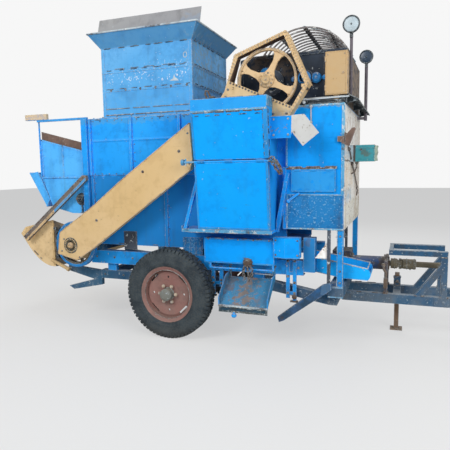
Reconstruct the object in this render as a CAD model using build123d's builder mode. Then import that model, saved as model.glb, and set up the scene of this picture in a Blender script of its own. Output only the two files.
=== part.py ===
from build123d import *
import math
import os

os.makedirs("parts", exist_ok=True)

# Towed thresher. Millimetres. +X is toward the drawbar, +Y is the far side, +Z is up.
# The origin is on the ground, under the middle of the whole machine.

# Wheels and axle
axle_x = -600
wheel_radius = 380
tyre_half = 85
bead_radius = 214
wheel_mid_y = 715
axle_size = 60
stub_radius = 24
lug_count = 28
lug_high = 12

# Running gear: bent channels under the machine
run_low = 410
run_high = 490
run_drop = 80
run_inner_y = 450
run_outer_y = 520
run_rear = -1420
run_bend = 240
run_front = 700
channel_wall = 8

# Body
sheet = 5
body_rear = -1470
body_front = 365
body_y = 550
body_low = 740
body_high = 1875
body_rail_low = 560
body_rail_high = 680

# Hopper: an open box with a rim that flares outward
hopper_rear = -1320
hopper_front = -440
hopper_near_y = -520
hopper_far_y = 290
hopper_bend = 2478
flare = 85
flare_high = 2598

# Front cabinet
front_rear = 370
front_x = 812
front_y = 600
front_low = 936
hatch_low = 1232
hatch_high = 1396
hatch_x = 582
hatch_long = 320

# Leaning side cabinet: its top stands out further than its foot
cabinet_rear = -310
cabinet_front = 292
cabinet_low = 935
cabinet_pin_z = 1468
cabinet_seam = 1850
cabinet_high = 1935
cabinet_low_y = -762
cabinet_pin_y = -818
cabinet_high_y = -868

# Drum and its cage of bars
cage_x = 486
cage_z = 2103
cage_radius = 378
cage_half_y = 480
cage_bars = 13
drive_x = 238
drive_z = 2076
drive_radius = 236

# Threshing drum under the cage
drum_x = 500
drum_z = 2090
drum_radius = 160
far_pulley_radius = 150

# Boot, rear mouth and long belt guard
boot_x = -1590
boot_z = 745
boot_half_y = 540
mouth_y = 540
mouth_rear = -2034
lip_x = -2004
lip_z = 1084
guard_y = -730
guard_depth = 45

# Drawbar and input shaft
rail_low = 292
rail_high = 370
input_z = 592
leg_x = 1195
leg_y = 70
hitch_x = 2280
hitch_z = 331


def save(made, name):
    made.part.label = name
    export_step(made.part, "parts/" + name + ".step")


def blocks(table):
    # Each row: low x, high x, low y, high y, low z, high z
    with BuildPart() as made:
        for low_x, high_x, low_y, high_y, low_z, high_z in table:
            with Locations((low_x, low_y, low_z)):
                Box(
                    high_x - low_x,
                    high_y - low_y,
                    high_z - low_z,
                    align=(Align.MIN, Align.MIN, Align.MIN),
                )
    return made


# Axle beam with a stub for each wheel
with BuildPart() as axle:
    with Locations((axle_x, 0, run_low - axle_size / 2)):
        Box(axle_size, 1200, axle_size)
    with BuildSketch(Plane.XZ.offset(-790)):
        with Locations((axle_x, wheel_radius)):
            Circle(stub_radius)
    extrude(amount=1580)
save(axle, "axle_beam")

# Wheels
tread_radius = wheel_radius - lug_high
for side_name, side in [("near", -1), ("far", 1)]:
    with BuildPart() as tyre:
        with BuildSketch(Plane.XY):
            with BuildLine():
                bead = Polyline(
                    (bead_radius, -tyre_half + 30),
                    (bead_radius + 45, -tyre_half + 2),
                    (bead_radius + 90, -tyre_half),
                )
                shoulder = ThreePointArc(
                    bead @ 1,
                    (tread_radius - 22, -tyre_half + 7),
                    (tread_radius, -tyre_half + 26),
                )
                tread = Line(shoulder @ 1, (tread_radius, tyre_half - 26))
                far_shoulder = ThreePointArc(
                    tread @ 1,
                    (tread_radius - 22, tyre_half - 7),
                    (bead_radius + 90, tyre_half),
                )
                Polyline(
                    far_shoulder @ 1,
                    (bead_radius + 45, tyre_half - 2),
                    (bead_radius, tyre_half - 30),
                    (bead_radius + 16, tyre_half - 36),
                    (tread_radius - 20, tyre_half - 36),
                    (tread_radius - 20, -tyre_half + 36),
                    (bead_radius + 16, -tyre_half + 36),
                    bead @ 0,
                )
            make_face()
        revolve(axis=Axis.Y)
        for lug in range(lug_count):
            for row, row_y in enumerate([-49, 49]):
                angle = math.radians(360 / lug_count * (lug + row / 2))
                reach = wheel_radius - lug_high / 2 - 3
                place = (reach * math.cos(angle), row_y, reach * math.sin(angle))
                with Locations(Location(place, (0, -math.degrees(angle), 0))):
                    Box(lug_high + 6, 52, 46)
    tyre.part.position = (axle_x, side * wheel_mid_y, wheel_radius)
    save(tyre, "tyre_" + side_name)

    with BuildPart() as rim:
        with BuildSketch(Plane.XY):
            with BuildLine():
                Polyline(
                    (236, side * 76),
                    (236, side * 72),
                    (bead_radius - 3, side * 57),
                    (bead_radius - 3, -side * 57),
                    (236, -side * 72),
                    (236, -side * 76),
                    (204, -side * 60),
                    (202, side * 10),
                    (180, side * 22),
                    (88, side * 18),
                    (66, side * 10),
                    (66, -side * 40),
                    (stub_radius + 2, -side * 40),
                    (stub_radius + 2, side * 78),
                    (0, side * 78),
                    (0, side * 98),
                    (36, side * 98),
                    (48, side * 88),
                    (50, side * 34),
                    (92, side * 30),
                    (182, side * 34),
                    (204, side * 24),
                    (204, side * 60),
                    close=True,
                )
            make_face()
        revolve(axis=Axis.Y)
        with BuildSketch(Plane.XZ.offset(-60)):
            with PolarLocations(182, 4, start_angle=45):
                SlotOverall(96, 15, rotation=90)
            with PolarLocations(140, 4):
                Circle(9)
        extrude(amount=120, mode=Mode.SUBTRACT)
        with BuildSketch(Plane.XZ.offset(-side * 30)):
            with PolarLocations(74, 6):
                Circle(9)
        extrude(amount=-side * 18)
    rim.part.position = (axle_x, side * wheel_mid_y, wheel_radius)
    save(rim, "rim_" + side_name)

# Running gear: channels that drop to the drawbar, open toward the middle
with BuildPart() as running_rails:
    for inset, deep in [(0, run_outer_y), (channel_wall, run_outer_y - channel_wall)]:
        with BuildSketch(Plane.XZ.offset(run_inner_y)):
            with BuildLine():
                Polyline(
                    (run_rear, run_low + inset),
                    (run_rear, run_high - inset),
                    (run_bend, run_high - inset),
                    (run_front, run_high - run_drop - inset),
                    (run_front, run_low - run_drop + inset),
                    (run_bend, run_low + inset),
                    close=True,
                )
            make_face()
        extrude(amount=deep - run_inner_y, mode=Mode.SUBTRACT if inset else Mode.ADD)
    mirror(about=Plane.XZ)
save(running_rails, "running_rails")

# Body rails: straight channels on short stands over the running gear
with BuildPart() as body_rails:
    with BuildSketch(Plane.YZ.offset(-1500)):
        with BuildLine():
            Polyline(
                (-480, body_rail_low),
                (-body_y, body_rail_low),
                (-body_y, body_rail_high),
                (-480, body_rail_high),
                (-480, body_rail_high - channel_wall),
                (channel_wall - body_y, body_rail_high - channel_wall),
                (channel_wall - body_y, body_rail_low + channel_wall),
                (-480, body_rail_low + channel_wall),
                close=True,
            )
        make_face()
    extrude(amount=2000)
    mirror(about=Plane.XZ)
save(body_rails, "body_rails")

# Stands between the two pairs of rails, and the hangers outside the near one: two bars and their links
with BuildPart() as stands:
    for stand_x in [-1300, -600, 120]:
        for stand_y in [-500, 500]:
            with Locations((stand_x, stand_y, (run_high + body_rail_low) / 2)):
                Box(90, 40, body_rail_low - run_high)
    for low_x, high_x, low_z, high_z in [
        (-284, -252, 341, 610),
        (-212, -178, 424, 610),
        (-252, -212, 440, 468),
        (362, 392, 372, 696),
        (416, 446, 341, 696),
        (392, 416, 400, 428),
        (392, 416, 560, 588),
    ]:
        with Locations(((low_x + high_x) / 2, -body_y - 6, (low_z + high_z) / 2)):
            Box(high_x - low_x, 12, high_z - low_z)
save(stands, "rail_stands")

# Cross bars: under the body, across the running gear, and the wide one under the front posts
save(
    blocks(
        [
            (-1440, -1380, -540, 540, body_rail_high, body_low),
            (-800, -740, -540, 540, body_rail_high, body_low),
            (-180, -120, -540, 540, body_rail_high, body_low),
            (300, 360, -540, 540, body_rail_high, body_low),
            (-1400, -1340, -450, 450, 418, 482),
            (-1000, -940, -450, 450, 418, 482),
            (60, 120, -450, 450, 418, 482),
        ]
    ),
    "cross_bars",
)
save(
    blocks(
        [
            (run_front, 815, -front_y, front_y, 410, 500),
            (run_front, 760, -run_outer_y, run_outer_y, 330, 410),
        ]
    ),
    "front_cross",
)
save(
    blocks(
        [
            (765, 810, -595, -550, 500, front_low),
            (765, 810, 550, 595, 500, front_low),
        ]
    ),
    "front_posts",
)

# Two crossed beams behind each running rail
with BuildPart() as rear_beams:
    with BuildSketch(Plane.XZ.offset(480)):
        with BuildLine():
            Polyline(
                (run_rear, 480),
                (run_rear, 345),
                (-1742, 278),
                (-1798, 309),
                (-1500, 392),
                (-1800, 462),
                (-1793, 515),
                close=True,
            )
        make_face()
    extrude(amount=38)
    mirror(about=Plane.XZ)
save(rear_beams, "rear_beams")

# Body sides: a lap above the lower panel, a folded crease, and upright ribs
lap_z = 1372
crease_z = 1680
body_skin_y = body_y - 6
for side_name, side in [("near", -1), ("far", 1)]:
    with BuildPart() as body_side:
        with BuildSketch(Plane.YZ.offset(body_rear)):
            with BuildLine():
                Polyline(
                    (side * body_skin_y, body_low),
                    (side * body_skin_y, lap_z),
                    (side * body_y, lap_z),
                    (side * body_y, crease_z - 16),
                    (side * (body_y + 7), crease_z),
                    (side * body_y, crease_z + 16),
                    (side * body_y, body_high),
                    (side * (body_y - sheet), body_high),
                    (side * (body_y - sheet), crease_z + 16),
                    (side * (body_y + 7 - sheet), crease_z),
                    (side * (body_y - sheet), crease_z - 16),
                    (side * (body_y - sheet), lap_z + sheet),
                    (side * (body_skin_y - sheet), lap_z + sheet),
                    (side * (body_skin_y - sheet), body_low),
                    close=True,
                )
            make_face()
        extrude(amount=body_front - body_rear)
        for rib_x in [-1450, -1025, -554]:
            with Locations((rib_x, side * (body_y + 9), (lap_z + body_high) / 2)):
                Box(22, 22, body_high - lap_z)
        for rib_x in [-1450, -703]:
            with Locations((rib_x, side * (body_skin_y + 5), (body_low + lap_z) / 2)):
                Box(30, 12, lap_z - body_low)
    save(body_side, "body_side_" + side_name)

inside_y = body_skin_y - sheet
save(blocks([(body_rear, body_front, -inside_y, inside_y, body_low, body_low + sheet)]), "body_floor")
save(
    blocks([(body_rear, body_rear + sheet, -inside_y, inside_y, body_low + sheet, 1150)]),
    "body_rear_wall",
)

# Deck with the opening that the hopper stands over
with BuildPart() as deck:
    with BuildSketch(Plane.XY.offset(body_high)):
        with Locations(((body_rear + front_x) / 2, 0)):
            Rectangle(front_x - body_rear, 2 * body_y)
        with Locations(((hopper_rear + hopper_front) / 2, (hopper_near_y + hopper_far_y) / 2)):
            Rectangle(
                hopper_front - hopper_rear - 40,
                hopper_far_y - hopper_near_y - 40,
                mode=Mode.SUBTRACT,
            )
    extrude(amount=sheet)
save(deck, "body_deck")

# Hopper: upright sheets that flare outward above the bend, mitred at the corners
deck_top = body_high + sheet
hopper_mid_x = (hopper_rear + hopper_front) / 2
hopper_mid_y = (hopper_near_y + hopper_far_y) / 2
hopper_long = hopper_front - hopper_rear
hopper_wide = hopper_far_y - hopper_near_y - 2 * sheet
upright = hopper_bend - deck_top
with BuildPart() as hopper_sides:
    for outer_y, side in [(hopper_near_y, -1), (hopper_far_y, 1)]:
        skin_y = outer_y - side * sheet / 2
        with Locations((hopper_mid_x, skin_y, deck_top + upright / 2)):
            Box(hopper_long, sheet, upright)
        with BuildSketch(Plane.XY.offset(hopper_bend)):
            with Locations((hopper_mid_x, skin_y)):
                Rectangle(hopper_long, sheet)
        with BuildSketch(Plane.XY.offset(flare_high)):
            with Locations((hopper_mid_x, skin_y + side * flare)):
                Rectangle(hopper_long + 2 * flare, sheet)
        loft()
save(hopper_sides, "hopper_sides")
with BuildPart() as hopper_ends:
    for outer_x, turn in [(hopper_rear, -1), (hopper_front, 1)]:
        skin_x = outer_x - turn * sheet / 2
        with Locations((skin_x, hopper_mid_y, deck_top + upright / 2)):
            Box(sheet, hopper_wide, upright)
        with BuildSketch(Plane.XY.offset(hopper_bend)):
            with Locations((skin_x, hopper_mid_y)):
                Rectangle(sheet, hopper_wide)
        with BuildSketch(Plane.XY.offset(flare_high)):
            with Locations((skin_x + turn * flare, hopper_mid_y)):
                Rectangle(sheet, hopper_wide + 2 * flare)
        loft()
save(hopper_ends, "hopper_ends")

# Board that leans inward behind the near rim
board_top = 2758
board_rear = -1385
board_front = -385
with BuildPart() as board:
    with BuildSketch(Plane.YZ.offset(board_rear)):
        with BuildLine():
            Polyline(
                (hopper_near_y + sheet, hopper_bend - 40),
                (hopper_near_y + sheet, hopper_bend),
                (-430, board_top),
                (-424, board_top),
                (hopper_near_y + 11, hopper_bend),
                (hopper_near_y + 11, hopper_bend - 40),
                close=True,
            )
        make_face()
    extrude(amount=board_front - board_rear)
    with BuildSketch(Plane.XZ.offset(400)):
        with BuildLine():
            Polyline(
                (hopper_front - 9, hopper_bend - 60),
                (hopper_front - 9, hopper_bend),
                (hopper_front - 9 + flare, flare_high),
                (hopper_front + 200, flare_high),
                (hopper_front + 200, hopper_bend - 60),
                close=True,
            )
        make_face()
        mirror(about=Plane.YZ.offset(hopper_mid_x))
    extrude(amount=150, mode=Mode.SUBTRACT)
save(board, "hopper_board")

# Leaning side cabinet: walls and ledge, fixed upper panel with its header, swinging lower door
with BuildPart() as case:
    for wall_x, inner_y in [(cabinet_rear, -body_y - 20), (cabinet_front - sheet, -712)]:
        with BuildSketch(Plane.YZ.offset(wall_x)):
            with BuildLine():
                Polyline(
                    (-body_y, cabinet_low),
                    (cabinet_low_y + 6, cabinet_low),
                    (cabinet_pin_y + 14, cabinet_pin_z),
                    (cabinet_high_y + 8, cabinet_seam),
                    (cabinet_high_y + 8, cabinet_high - 9),
                    (inner_y, cabinet_high - 9),
                    (inner_y, 1780),
                    (-body_y - 10, 1780),
                    (-body_y - 10, 1640),
                    (-body_y, 1640),
                    close=True,
                )
            make_face()
        extrude(amount=sheet)
    with Locations((-76, (cabinet_low_y - 6 - body_y) / 2, cabinet_low - 10)):
        Box(752, -cabinet_low_y + 6 - body_y, 20)
save(case, "cabinet_case")

with BuildPart() as cabinet_top:
    with BuildSketch(Plane.YZ.offset(cabinet_rear)):
        with BuildLine():
            Polyline(
                (-712, cabinet_high),
                (cabinet_high_y - 6, cabinet_high),
                (cabinet_high_y - 6, cabinet_seam),
                (cabinet_high_y, cabinet_seam),
                (cabinet_high_y + 6, cabinet_high - 9),
                (-712, cabinet_high - 9),
                close=True,
            )
        make_face()
    extrude(amount=cabinet_front - cabinet_rear)
    with BuildSketch(Plane.YZ.offset(cabinet_rear)):
        with BuildLine():
            Polyline(
                (cabinet_high_y + 8, cabinet_high - 9),
                (cabinet_high_y, cabinet_high - 9),
                (cabinet_high_y, cabinet_seam),
                (cabinet_pin_y + 4, cabinet_pin_z + 16),
                (cabinet_pin_y + 10, cabinet_pin_z + 16),
                (cabinet_high_y + 8, cabinet_seam),
                close=True,
            )
        make_face()
    extrude(amount=cabinet_front - cabinet_rear)
save(cabinet_top, "cabinet_top")

with BuildPart() as door:
    with BuildSketch(Plane.YZ.offset(cabinet_rear + 2)):
        with BuildLine():
            Polyline(
                (cabinet_low_y, cabinet_low + 4),
                (cabinet_low_y - 6, cabinet_low + 4),
                (cabinet_pin_y - 4, cabinet_pin_z),
                (cabinet_pin_y + 4, cabinet_pin_z),
                close=True,
            )
        make_face()
        with Locations((cabinet_pin_y, cabinet_pin_z)):
            Circle(9)
    extrude(amount=cabinet_front - cabinet_rear - 4)
save(door, "cabinet_door")

# Front cabinet: near side with a hatch, far side, front face, and the flap over the hatch
with BuildPart() as front_near:
    with BuildSketch(Plane.XZ.offset(front_y - sheet)):
        with BuildLine():
            Polyline(
                (front_rear, front_low),
                (front_x, front_low),
                (front_x, body_high + sheet),
                (front_rear, body_high + sheet),
                close=True,
            )
        make_face()
        with Locations((hatch_x, (hatch_low + hatch_high) / 2)):
            Rectangle(hatch_long, hatch_high - hatch_low, mode=Mode.SUBTRACT)
    extrude(amount=sheet)
    for shelf_z in [front_low, body_high]:
        with Locations(((front_rear + front_x) / 2, -(front_y - sheet + body_y) / 2, shelf_z + sheet / 2)):
            Box(front_x - front_rear, front_y - sheet - body_y, sheet)
    with Locations((front_rear + sheet / 2, 22 - front_y, (front_low + body_high) / 2)):
        Box(sheet, 44, body_high - front_low)
save(front_near, "front_near_side")
save(
    blocks(
        [
            (front_rear, front_x, front_y - sheet, front_y, front_low, body_high + sheet),
            (front_rear, front_x, body_y, front_y - sheet, front_low, front_low + sheet),
            (front_rear, front_x, body_y, front_y - sheet, body_high, body_high + sheet),
        ]
    ),
    "front_far_side",
)
save(
    blocks(
        [
            (front_x - sheet, front_x, sheet - front_y, front_y - sheet, front_low + sheet, body_high),
            (front_x - 140, front_x, -body_y, body_y, front_low, front_low + sheet),
        ]
    ),
    "front_face",
)
with BuildPart() as flap:
    with Locations((hatch_x, 3 - front_y - 11, (hatch_low + hatch_high - 10) / 2)):
        Box(hatch_long + 18, 6, hatch_high - hatch_low - 6)
    with BuildSketch(Plane.YZ.offset(hatch_x - hatch_long / 2 - 7)):
        with Locations((-front_y - 8, hatch_high - 3)):
            Circle(7)
    extrude(amount=hatch_long + 14)
save(flap, "front_flap")

# Sloping braces on both sides of the cabinet, narrow strip behind it, and the strut down to the chute
with BuildPart() as braces:
    for outline, low_y, high_y in [
        ([(405, 1372), (375, 1372), (303, 1000), (303, 915), (320, 915)], -640, -front_y),
        ([(-441, 935), (-414, 935), (cabinet_rear, 1291), (cabinet_rear, 1381)], -768, -738),
        ([(345, 936), (370, 936), (370, 1420), (345, 1420)], -front_y, -body_y),
        ([(310, 230), (321, 190), (360, 205), (730, 480), (730, 535), (660, 512)], -640, -front_y),
    ]:
        with BuildSketch(Plane.XZ.offset(-low_y)):
            with BuildLine():
                Polyline(*outline, close=True)
            make_face()
        extrude(amount=low_y - high_y)
save(braces, "braces")

# Blank plate on the end of a broad arm, stiffened by a bar behind
arm_x = cabinet_front
with BuildPart() as plate:
    with BuildSketch(Plane.XZ.offset(765)):
        with BuildLine():
            Polyline(
                (arm_x, 1631),
                (446, 1631),
                (452, 1676),
                (534, 1570),
                (651, 1661),
                (544, 1798),
                (446, 1794),
                (arm_x, 1794),
                close=True,
            )
        make_face()
    extrude(amount=-4)
    with Locations(((arm_x + 452) / 2, -752, 1715)):
        Box(452 - arm_x, 18, 40)
save(plate, "blank_plate")

# Drum housing: hollow, open under the cage of bars, with a bearing on each end plate
shoulder = math.radians(30)
cage_low_z = cage_z + cage_radius * math.sin(shoulder)
housing_rear = -20
with BuildPart() as housing:
    for deep, inset, mode in [(500 + sheet, 0, Mode.ADD), (500, sheet, Mode.SUBTRACT)]:
        with BuildSketch(Plane.XZ.offset(-deep)):
            with BuildLine():
                Polyline(
                    (housing_rear + inset, deck_top),
                    (front_x - inset, deck_top),
                    (front_x - inset, cage_low_z - inset),
                    (100, cage_low_z - inset),
                    (housing_rear + inset, cage_low_z - 22 - inset),
                    close=True,
                )
            make_face()
        extrude(amount=2 * deep, mode=mode)
    with Locations((cage_x, 0, cage_low_z)):
        Box(612, 940, 80, mode=Mode.SUBTRACT)
    for bearing_x, bearing_z in [(drum_x, drum_z), (drive_x, drive_z)]:
        with BuildSketch(Plane.XZ.offset(500 + sheet)):
            with Locations((bearing_x, bearing_z)):
                Circle(62)
        extrude(amount=24)
        with BuildSketch(Plane.XZ.offset(560)):
            with Locations((bearing_x, bearing_z)):
                Circle(29)
        extrude(amount=-80, mode=Mode.SUBTRACT)
    with BuildSketch(Plane.XZ.offset(-500 - sheet)):
        with Locations((drum_x, drum_z)):
            Circle(62)
    extrude(amount=-24)
    with BuildSketch(Plane.XZ.offset(-480)):
        with Locations((drum_x, drum_z)):
            Circle(29)
    extrude(amount=-80, mode=Mode.SUBTRACT)
save(housing, "drum_housing")

# Cage over the drum: arched bars side by side, tied by flats that run across them
bar_deep = 8
with BuildPart() as cage:
    for bar in range(cage_bars):
        bar_y = -cage_half_y + 2 * cage_half_y / (cage_bars - 1) * bar
        with BuildSketch(Plane.XZ.offset(bar_deep / 2 - bar_y)):
            with BuildLine():
                rise = CenterArc((cage_x, cage_z), cage_radius, 26, 128)
                fall = CenterArc((cage_x, cage_z), cage_radius - 12, 26, 128)
                Line(rise @ 0, fall @ 0)
                Line(rise @ 1, fall @ 1)
            make_face()
        extrude(amount=-bar_deep)
    for tie_angle in [31, 60, 90, 120, 149]:
        with BuildSketch(Plane.XZ.offset(cage_half_y + 4)):
            with Locations(Location((cage_x, cage_z), tie_angle)):
                with Locations((cage_radius - 1, 0)):
                    Rectangle(6, 34)
        extrude(amount=-2 * cage_half_y - 8)
    with Locations((cage_x, 0, cage_low_z - 50)):
        Box(900, 1000, 100, mode=Mode.SUBTRACT)
save(cage, "drum_cage")

# Threshing drum: a barrel with rows of pegs, its shaft, and a plain pulley on the far end
with BuildPart() as drum:
    with BuildSketch(Plane.XZ.offset(470)):
        Circle(drum_radius)
    extrude(amount=-940)
    with BuildSketch(Plane.XZ.offset(460)):
        Circle(drum_radius - 10)
    extrude(amount=-920, mode=Mode.SUBTRACT)
    for row in range(8):
        for peg in range(9):
            angle = 45 * row
            peg_y = -400 + 100 * peg + 50 * (row % 2) - 25
            with Locations(Location((0, peg_y, 0), (0, -angle, 0))):
                with Locations((drum_radius, 0, 0)):
                    Box(40, 14, 20)
    with BuildSketch(Plane.XZ.offset(545)):
        Circle(24)
    extrude(amount=-1419)
    with BuildSketch(Plane.XZ.offset(-740)):
        Circle(far_pulley_radius)
        Circle(far_pulley_radius - 22, mode=Mode.SUBTRACT)
        Circle(45)
        with PolarLocations(85, 4):
            Rectangle(110, 30)
    extrude(amount=-60)
drum.part.position = (drum_x, 0, drum_z)
save(drum, "drum")

# Spoked pulley on the near side: dished rim with a crowned face, flaring spokes, stepped hub
spoke_angle = 63
with BuildPart() as drive:
    with BuildSketch(Plane.XY):
        with BuildLine():
            crown = ThreePointArc(
                (drive_radius - 4, -675),
                (drive_radius, -655),
                (drive_radius - 4, -635),
            )
            Polyline(
                crown @ 1,
                (drive_radius - 22, -637),
                (drive_radius - 18, -650),
                (drive_radius - 18, -660),
                (drive_radius - 22, -673),
                crown @ 0,
            )
        make_face()
        with BuildLine():
            Polyline(
                (0, -692),
                (34, -692),
                (40, -684),
                (58, -672),
                (58, -640),
                (40, -632),
                (40, -622),
                (25, -622),
                (25, -490),
                (0, -490),
                close=True,
            )
        make_face()
    revolve(axis=Axis.Y)
    with BuildSketch(Plane.XZ.offset(664)):
        with PolarLocations(0, 4, start_angle=spoke_angle):
            Polygon(
                (36, -46),
                (82, -24),
                (150, -19),
                (190, -30),
                (drive_radius - 14, -60),
                (drive_radius - 14, 60),
                (190, 30),
                (150, 19),
                (82, 24),
                (36, 46),
                align=None,
            )
    extrude(amount=-16)
drive.part.position = (drive_x, 0, drive_z)
save(drive, "drive_pulley")

# Many-sided guard round the spoked pulley: a narrow hoop over a solid foot, on two standoffs
with BuildPart() as guard:
    with BuildSketch(Plane.XZ.offset(705)):
        with BuildLine():
            Polyline(
                (396, 2411),
                (569, 2021),
                (418, 1790),
                (301, 1789),
                (-123, 1960),
                (-91, 2005),
                (-63, 2082),
                (-5, 2273),
                close=True,
            )
        make_face()
        with BuildLine():
            Polyline(
                (378, 2378),
                (535, 2021),
                (439, 1865),
                (-46, 2081),
                (24, 2253),
                close=True,
            )
        make_face(mode=Mode.SUBTRACT)
    extrude(amount=-6)
    for standoff_x, standoff_z in [(0, 1955), (520, 2010)]:
        with Locations((standoff_x, -602, standoff_z)):
            Box(24, 194, 24)
save(guard, "pulley_guard")

# Cream box beside the cage
with BuildPart() as cream_box:
    with Locations((745, -552, 2097)):
        Box(160, 94, 306)
        Box(152, 86, 298, mode=Mode.SUBTRACT)
    with Locations((745, -552, 1915)):
        Box(40, 60, 60)
save(cream_box, "cream_box")

# Long belt guard: a pan open toward the body, held off it by three studs
with BuildPart() as belt_guard:
    with BuildSketch(Plane.XZ.offset(-guard_y)):
        with BuildLine():
            Polyline(
                (-1706, 859),
                (-1324, 1112),
                (-1053, 1320),
                (-381, 1782),
                (-359, 1500),
                (-378, 1413),
                (-1047, 939),
                (-1322, 745),
                (-1531, 609),
                (-1739, 661),
                close=True,
            )
        guard_face = make_face()
    extrude(amount=-guard_depth)
    with BuildSketch(Plane.XZ.offset(-guard_y - sheet)):
        add(guard_face)
        offset(amount=-sheet, kind=Kind.INTERSECTION, mode=Mode.REPLACE)
    extrude(amount=-guard_depth, mode=Mode.SUBTRACT)
    with BuildSketch(Plane.XZ.offset(-guard_y)):
        with Locations((boot_x, boot_z)):
            Circle(60)
    extrude(amount=-guard_depth, mode=Mode.SUBTRACT)
    for stud_x, stud_z, stud_end in [(-480, 1560, body_y), (-820, 1400, body_y), (-1300, 980, body_skin_y)]:
        with BuildSketch(Plane.XZ.offset(-guard_y - sheet)):
            with Locations((stud_x, stud_z)):
                Circle(14)
        extrude(amount=guard_y + sheet + stud_end)
save(belt_guard, "belt_guard")

# Boot across the rear: a rounded trough between two end plates that reach to the corner posts; the near one
# carries the bearing of the pulley
post_rear = -1530
with BuildPart() as boot:
    for lift, mode in [(0, Mode.ADD), (sheet, Mode.SUBTRACT)]:
        with BuildSketch(Plane.XZ.offset(boot_half_y)):
            with BuildLine():
                belly = Spline(
                    (-2331 + lift, 807),
                    (-2208 + lift, 645 + lift),
                    (-2110 + lift / 2, 552 + lift),
                    (-1995, 500 + lift),
                    (-1843 - lift, 520 + lift),
                    (-1740 - lift, 660),
                )
                Polyline(belly @ 1, (-1740 - lift, 670 + lift), (-2331 + lift, 815 + 4 * lift), belly @ 0)
            make_face()
        extrude(amount=-2 * boot_half_y, mode=mode)
    for end_y in [-boot_half_y - sheet, boot_half_y]:
        with BuildSketch(Plane.XZ.offset(-end_y)):
            with BuildLine():
                edge = Spline((-2331, 807), (-2208, 645), (-2110, 552), (-1995, 500), (-1843, 520), (-1740, 660))
                Polyline(
                    edge @ 1,
                    (post_rear, 660),
                    (post_rear, 880),
                    (-1700, 880),
                    (-1938, 949),
                    (-2273, 872),
                    edge @ 0,
                )
            make_face()
        extrude(amount=-sheet)
    with BuildSketch(Plane.XZ.offset(boot_half_y + 45)):
        with Locations((boot_x, boot_z)):
            Circle(48)
    extrude(amount=-40)
    with BuildSketch(Plane.XZ.offset(boot_half_y + 45)):
        with Locations((boot_x, boot_z)):
            Circle(23)
    extrude(amount=-45, mode=Mode.SUBTRACT)
save(boot, "boot")

# Pulley behind the lower end of the belt guard, with its stub and bearing collar
with BuildPart() as boot_pulley:
    with BuildSketch(Plane.XY):
        with BuildLine():
            Polyline(
                (0, -750),
                (20, -750),
                (28, -742),
                (28, -676),
                (50, -670),
                (50, -620),
                (20, -612),
                (20, -548),
                (0, -548),
                close=True,
            )
        make_face()
        with BuildLine():
            belt_face = ThreePointArc((183, -672), (187, -646), (183, -620))
            Polyline(belt_face @ 1, (168, -620), (168, -672), belt_face @ 0)
        make_face()
    revolve(axis=Axis.Y)
    with BuildSketch(Plane.XZ.offset(654)):
        with PolarLocations(108, 4, start_angle=20):
            Rectangle(128, 30)
    extrude(amount=-14)
boot_pulley.part.position = (boot_x, 0, boot_z)
save(boot_pulley, "boot_pulley")

# Rear mouth: side panels on corner posts, floor, top rails with thin posts
with BuildPart() as rear_sides:
    with BuildSketch(Plane.XZ.offset(mouth_y)):
        with BuildLine():
            Polyline(
                (-2025, 1718),
                (-1530, 1594),
                (-1530, 1020),
                (-1700, 1020),
                (-1922, 1075),
                (mouth_rear, 1366),
                close=True,
            )
        make_face()
    extrude(amount=-sheet)
    mirror(about=Plane.XZ)
save(rear_sides, "rear_sides")

with BuildPart() as rear_frame:
    with Locations((post_rear + 30, -563, (body_rail_high + 1876) / 2)):
        Box(60, 46, 1876 - body_rail_high)
    with Locations(((mouth_rear - 1470) / 2, -563, 1886)):
        Box(-1470 - mouth_rear, 20, 20)
    with Locations((mouth_rear + 6, -550, 1620)):
        Box(12, 10, 520)
    with Locations((-2039, -563, 1922)):
        Box(250, 30, 52)
    mirror(about=Plane.XZ)
    with BuildSketch(Plane.XZ.offset(mouth_y - sheet)):
        with BuildLine():
            Polyline(
                (body_rear, 1150),
                (-1920, 1082),
                (-1920, 1077),
                (body_rear, 1145),
                close=True,
            )
        make_face()
    extrude(amount=-2 * (mouth_y - sheet))
save(rear_frame, "rear_frame")

# Lip across the rear mouth, hinged along its lower edge
with BuildPart() as lip:
    with BuildSketch(Plane.XZ.offset(mouth_y - 8)):
        with BuildLine():
            Polyline((-2192, 1398), (-2187, 1401), (lip_x, lip_z + 4), (lip_x, lip_z - 4), close=True)
        make_face()
        with Locations((lip_x, lip_z)):
            Circle(8)
    extrude(amount=-2 * (mouth_y - 8))
    for end_y in [-mouth_y + 8, mouth_y - 8 - sheet]:
        with BuildSketch(Plane.XZ.offset(-end_y)):
            with BuildLine():
                Polyline((-2192, 1398), (-2090, 1413), (-1960, 1150), (lip_x, lip_z), close=True)
            make_face()
        extrude(amount=-sheet)
save(lip, "rear_lip")

# Strut from the boot up to the corner post
with BuildPart() as rear_strut:
    with BuildSketch(Plane.XZ.offset(612)):
        with BuildLine():
            Polyline((-2240, 790), (-2200, 745), (-1478, 1330), (-1478, 1374), (-1522, 1374), close=True)
        make_face()
    extrude(amount=-26)
    with Locations((-2210, -(586 + boot_half_y + sheet) / 2, 800)):
        Box(60, 586 - boot_half_y - sheet, 50)
save(rear_strut, "rear_strut")

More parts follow.
